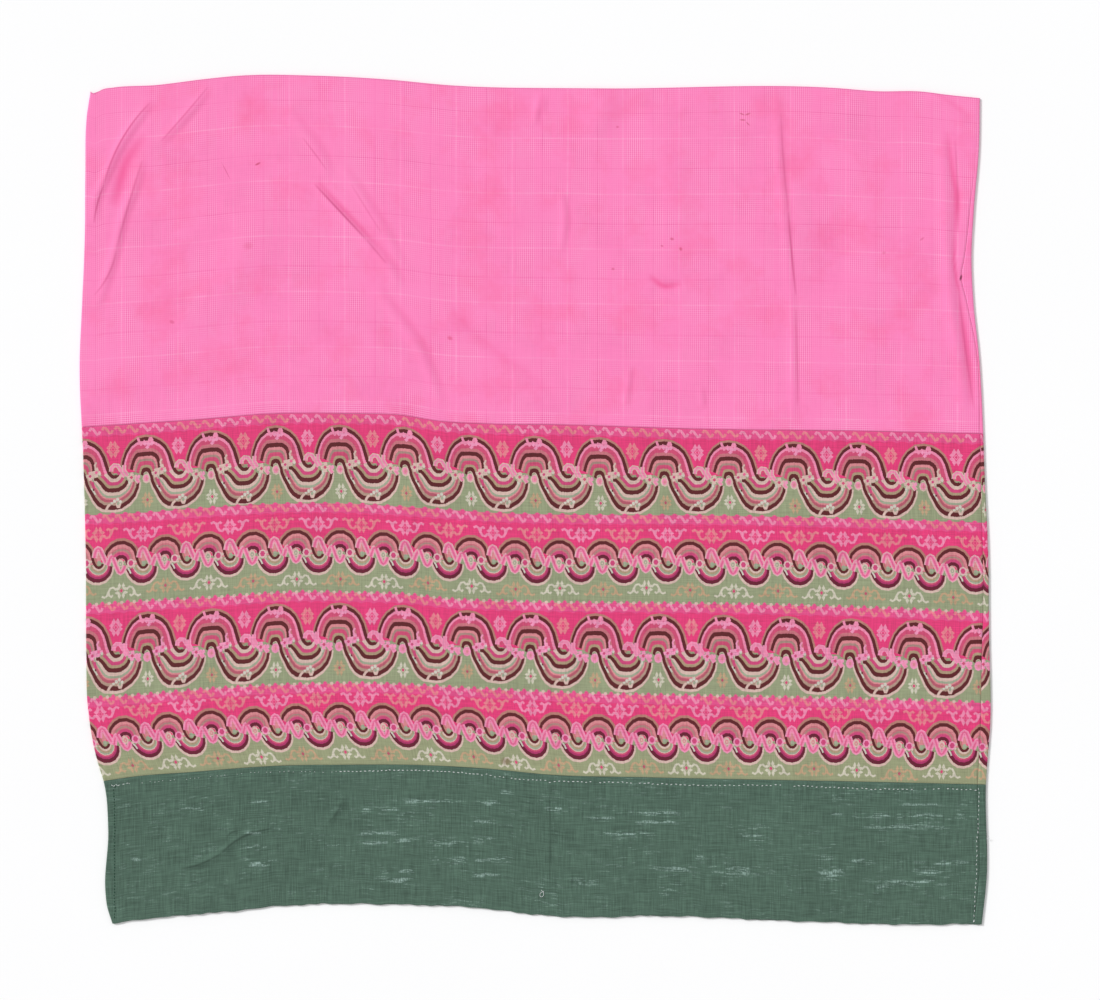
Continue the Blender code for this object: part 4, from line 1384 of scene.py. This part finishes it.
def tapestry_silk():
    """Tapestry silk: dyes and bands as charted, with ragged interlocked joins and thread-by-thread tone."""
    m = ClothMaterial("tapestry_silk", 0.66, 0.12)
    colour = m.shade_kept("Dye")["Color"]
    band = m.add("SeparateColor", {0: m.shade_kept("Band")["Color"]}).outputs
    teeth = m.noise(m.stretch(m.measure, 700, 1000))
    across = m.maths("MULTIPLY_ADD", m.less(teeth, 0.5), 0.035, band["Red"])
    for number, stops in WAVES.items():
        stops = [((share - PLACE_LOW) / PLACE_SPAN, linear(*DYES[name])) for share, name in stops]
        chosen = m.maths("COMPARE", band["Green"], number * BAND_STEP, 0.4 * BAND_STEP)
        colour = m.mix(chosen, colour, m.ramp(across, stops))
    threads = m.woven(1100.0, 1700.0, 0.9)
    shade = m.shaded(threads, 0.9, 20.0, 0.3)
    colour = m.toned(colour, shade, (0.48, 0.45, 0.45), (0.81, 0.77, 0.77), (1.1, 1.08, 1.08))
    stain = m.times(m.spot(TAPESTRY_STAIN), TAPESTRY_STAIN.strength)
    colour = m.mix(stain, colour, colour_of(*TAPESTRY_STAIN.dye))
    return m.finished(colour, threads["Height"], 0.4, 0.4)


def slub_cotton():
    """Green cotton with slubs, uneven yarns and sharp lines of painted shade along its creases."""
    m = ClothMaterial("slub_cotton", 0.85, 0.1)
    thin = m.shade_kept("Worn")["Fac"]
    flecks = m.use(slubs, {"Vector": m.measure, "Thin": thin, "Everywhere": 0.55})["Mask"]
    threads = m.woven(1100.0, 1100.0, 1.7)
    colour = m.mix(m.times(flecks, 0.85), colour_of(75, 101, 87), colour_of(154, 180, 172))
    shade = m.shaded(threads, 0.9, 10.0, 0.35)
    for across, down, share in ((22, 640, 0.7), (640, 30, 0.45)):
        yarns = m.noise(m.stretch(m.measure, across, down), detail=3.0)
        shade = m.maths("MULTIPLY_ADD", m.less(yarns, 0.5), share, shade)
    colour = m.toned(colour, shade, (0.58, 0.6, 0.6), (1, 1, 1), (1.42, 1.4, 1.4))
    # Painted shade: dark lines along the creases
    colour = m.with_crease_shade(colour, COTTON_CREASE_SHADES, (36, 56, 46))
    return m.finished(colour, m.plus(threads["Height"], m.times(flecks, 0.5)), 0.5, 0.5)


hem_cloth.data.materials.append(checked_silk())
pattern_cloth.data.materials.append(tapestry_silk())
waistband_cloth.data.materials.append(slub_cotton())


def grained_material(name, dark, light, scale, detail, roughness, gloss):
    """A plain material between two tones, by a grain over its place."""
    made = bpy.data.materials.new(name)
    made.use_nodes = True
    n = Nodes(made.node_tree)
    grain = n.noise(n.add("TexCoord").outputs["Object"], scale, detail)
    taken = n.tree.nodes["Principled BSDF"].inputs
    n.join(taken["Base Color"], n.mix(grain, dark, light))
    n.join(taken["Roughness"], roughness)
    n.join(taken["Specular IOR Level"], gloss)
    return made


def thread_material(name, *shade):
    darker = [0.86 * c for c in shade]
    return grained_material(name, colour_of(*darker), colour_of(*shade), 2500.0, 2.0, 0.8, 0.15)


white_thread = thread_material("white_thread", 232, 236, 236)
green_thread = thread_material("green_thread", 36, 72, 56)


def select_only(objects):
    for obj in bpy.context.selected_objects:
        obj.select_set(False)
    for obj in objects:
        obj.select_set(True)
    if objects:
        bpy.context.view_layer.objects.active = objects[0]


def stitch_model():
    """A short thread that rises out of the cloth and goes back in, 1 mm long and 1 mm wide."""
    select_only([])
    lying = (0, radians(90), 0)
    bpy.ops.mesh.primitive_uv_sphere_add(segments=6, ring_count=5, radius=0.5 * MM, rotation=lying)
    model = bpy.context.object
    bpy.ops.object.transform_apply(location=True, rotation=True, scale=True)
    bpy.ops.object.shade_smooth()
    return model


# A stitch is as thick as this share of its width, and each is a copy of one model with its own mesh
STITCH_THICK = 0.55
Stitch = namedtuple("Stitch", "x y z turn long wide")
stitch = stitch_model()


def sew(name, material, stitches):
    """One seam's stitches, joined as one piece."""
    copies = []
    for each in stitches:
        copy = bpy.data.objects.new(name, stitch.data.copy())
        bpy.context.collection.objects.link(copy)
        moved = Matrix.Translation((each.x * MM, each.y * MM, each.z * MM))
        sized = Matrix.Diagonal((each.long, each.wide, STITCH_THICK * each.wide, 1))
        copy.data.transform(moved @ Matrix.Rotation(each.turn, 4, "Z") @ sized)
        copies.append(copy)
    select_only(copies)
    bpy.ops.object.join()
    seam = bpy.context.object
    seam.name = seam.data.name = name
    seam.data.materials.clear()
    seam.data.materials.append(material)
    return seam


def front_height(x, y):
    return float(front_top(np.array([float(x)]), np.array([float(y)]))[0])


def front_stitch(x, y, lift, turn, long, wide):
    """A stitch on the front, its middle lifted off the cloth's face."""
    return Stitch(x, y, front_height(x, y) + lift, turn, long, wide)


# Running stitches just under the waistband's seam, front and back. From each place across the front on: the
# stitches' spacing, length, width and wander, and the share of them that has worn away. The last run goes on
# over the back
StitchRun = namedtuple("StitchRun", "from_x spacing long wide wander worn")
STITCH_RUNS = [StitchRun(*row) for row in (
    (-500, 4.4, 1.3, 0.45, 0.3, 0.35), (-335, 4.6, 1.5, 0.5, 0.4, 0.25), (-232, 4.6, 2.5, 0.85, 0.25, 0.0),
    (-76, 4.8, 2.1, 0.8, 0.7, 0.1), (5, 5.0, 2.4, 0.85, 0.35, 0.08),
)]
# How far down the band they run, with a slow sway, how clear of the side seam and of the folds they stay, and
# how far a stitch's middle is lifted off the front and off the back
RUN_DOWN, RUN_SWAY, RUN_SWAY_LENGTH = 6.4, 0.8, 31
FIRST_CLEAR, LAST_CLEAR, CLEAR_OF_FOLD = 14, 6, 6
FRONT_LIFT, BACK_LIFT = 0.08, 0.02
# The knotted end of that thread at the left: where and turn
KNOT_STITCHES = [
    (-452.77, -305.38, -0.9), (-450.42, -306.02, 0.9), (-448.06, -304.74, -0.7), (-445.49, -305.38, 0.5),
    (-440.36, -304.09, 0.2), (-436.29, -303.02, 0.3),
]


def running_stitches():
    stitches = []
    at = FRONT_TO_SEAM + FIRST_CLEAR
    while at < SEAM_AGAIN - LAST_CLEAR:
        front = at > ROUND
        x = at - ROUND - FRONT_WIDTH / 2 if front else STITCH_RUNS[-1].from_x
        run = [run for run in STITCH_RUNS if run.from_x <= x][-1]
        at += run.spacing * rng.uniform(0.85, 1.15)
        down = RUN_DOWN + RUN_SWAY * sin(at / RUN_SWAY_LENGTH) + rng.normal(0, run.wander)
        kept = rng.random() >= run.worn and min(abs(at - ROUND), abs(at - FRONT_WIDTH)) > CLEAR_OF_FOLD
        turn = rng.normal(0, 0.15)
        long, wide = run.long * rng.uniform(0.75, 1.15), run.wide * rng.uniform(0.8, 1.1)
        if kept:
            x, y, z = waistband.place(np.array([at]), np.array([down]), 0.0)[0] / MM
            stitches.append(Stitch(x, y, z + (FRONT_LIFT if at > ROUND else BACK_LIFT), turn, long, wide))
    return stitches + [front_stitch(x, y, 0.1, turn, 2.4, 0.6) for x, y, turn in KNOT_STITCHES]


# The line of the side seam's stitches on the green: Y, and X there. The last stitch is a longer one
SIDE_STITCH_LINE = [
    (-451.54, 469.36), (-429.07, 470.43), (-390.55, 472.35), (-364.87, 472.78),
    (-345.61, 473.85), (-326.35, 474.71), (-309.23, 474.49),
]
SIDE_STITCHES_END = -450.47
# The dark stitches down the left of the green: X, the Y they begin and end at, and the way between them
LEFT_DARK_X = -449.99
LEFT_DARK_FROM, LEFT_DARK_TO, LEFT_DARK_STEP = -307.09, -448.33, -3.317


def side_seam_stitches():
    stitches = []
    y = SIDE_STITCH_LINE[-1][0]
    while y > SIDE_STITCHES_END:
        x = along_curve(SIDE_STITCH_LINE, y) + rng.normal(0, 0.2675)
        turn = pi / 2 + rng.normal(0, 0.14)
        stitches.append(front_stitch(x, y, 0.1, turn, rng.uniform(1.6, 3.0), rng.uniform(0.5, 0.8)))
        y -= rng.uniform(4.066, 5.564)
    return stitches + [front_stitch(469.36, SIDE_STITCHES_END, 0.1, 1.2, 3.4, 0.9)]


def left_dark_stitches():
    stitches = []
    for y in np.arange(LEFT_DARK_FROM, LEFT_DARK_TO, LEFT_DARK_STEP):
        x = LEFT_DARK_X + rng.normal(0, 0.3745)
        stitches.append(front_stitch(x, y, 0.08, pi / 2 + rng.normal(0, 0.2), rng.uniform(1.3, 2.1), 1.25))
    return stitches


def loose_thread(name, material, points, width):
    """A thread end lying on the cloth: a thin tube along a smooth line. Each point is X, Y and lift."""
    curve = bpy.data.curves.new(name, "CURVE")
    curve.dimensions = "3D"
    curve.bevel_depth = width / 2 * MM
    curve.bevel_resolution = 2
    curve.resolution_u = 6
    spline = curve.splines.new("BEZIER")
    spline.bezier_points.add(len(points) - 1)
    for knot, (x, y, lift) in zip(spline.bezier_points, points):
        knot.co = (x * MM, y * MM, (front_height(x, y) + lift) * MM)
        knot.handle_left_type = knot.handle_right_type = "AUTO"
    thread = bpy.data.objects.new(name, curve)
    bpy.context.collection.objects.link(thread)
    select_only([thread])
    bpy.ops.object.convert(target="MESH")
    thread = bpy.context.object
    thread.data.materials.clear()
    thread.data.materials.append(material)
    return thread


CENTRE_LOOP = [
    (6.26, -417.3, 0.1), (8.83, -419.87, 0.5), (8.4, -423.72, 0.4), (5.83, -424.36, 0.4),
    (5.62, -420.94, 0.3), (9.47, -418.58, 0.3),
]
SIDE_END = [(483.05, -361.66, 0.1), (484.98, -362.94, 0.3), (486.26, -362.09, 0.2)]
sewing = [
    sew("band_running_stitches", white_thread, running_stitches()),
    sew("side_seam_stitches", white_thread, side_seam_stitches()),
    sew("left_dark_stitches", green_thread, left_dark_stitches()),
    loose_thread("centre_thread_end", white_thread, CENTRE_LOOP, 0.45),
    loose_thread("side_thread_end", white_thread, SIDE_END, 0.5),
]
bpy.data.objects.remove(stitch)

for piece in [hem_cloth, pattern_cloth, waistband_cloth] + sewing:
    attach(piece, "root")
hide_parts("hem_panel")
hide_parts("patterned_panel")
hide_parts("waistband")


# Pale table, just under the cloth, with white paper's faint grain
bpy.ops.mesh.primitive_plane_add(size=6.0, location=(0, 0, -0.0004))
table = bpy.context.object
table.name = "table_top"
table.data.materials.append(
    grained_material("table_paper", (0.98, 0.98, 0.985, 1), (0.995, 0.995, 1.0, 1), 3.0, 3.0, 0.9, 0.1)
)

# Soft even light with a little more from the upper left
ROOM_LIGHT = 0.58
WINDOW_LIGHT = 2.35
WINDOW_SPREAD = radians(14)
WINDOW_WAY = Vector((1.25, -0.75, -1.0))
world = bpy.data.worlds.new("soft_room")
bpy.context.scene.world = world
world.use_nodes = True
world.node_tree.nodes["Background"].inputs["Color"].default_value = (1.0, 1.0, 1.0, 1.0)
world.node_tree.nodes["Background"].inputs["Strength"].default_value = ROOM_LIGHT
select_only([])
bpy.ops.object.light_add(type="SUN", location=(-1.5, 1.2, 2.0))
window = bpy.context.object
window.name = "window_light"
window.data.energy = WINDOW_LIGHT
window.data.angle = WINDOW_SPREAD
window.rotation_euler = WINDOW_WAY.to_track_quat("-Z", "Y").to_euler()

# The camera, straight above, takes in the photo's frame at the height of the front
LENS, SENSOR = 100.0, 36.0
view_wide = PHOTO_WIDE * MM_PER_PIXEL * MM
bpy.ops.object.camera_add(location=(VIEW_CENTRE_X * MM, 0, view_wide * LENS / SENSOR + FLAT_TOP * MM))
camera = bpy.context.object
camera.data.lens = LENS
camera.data.sensor_width = SENSOR
camera.data.clip_end = 50
bpy.context.scene.camera = camera
bpy.context.scene.view_settings.view_transform = "Standard"
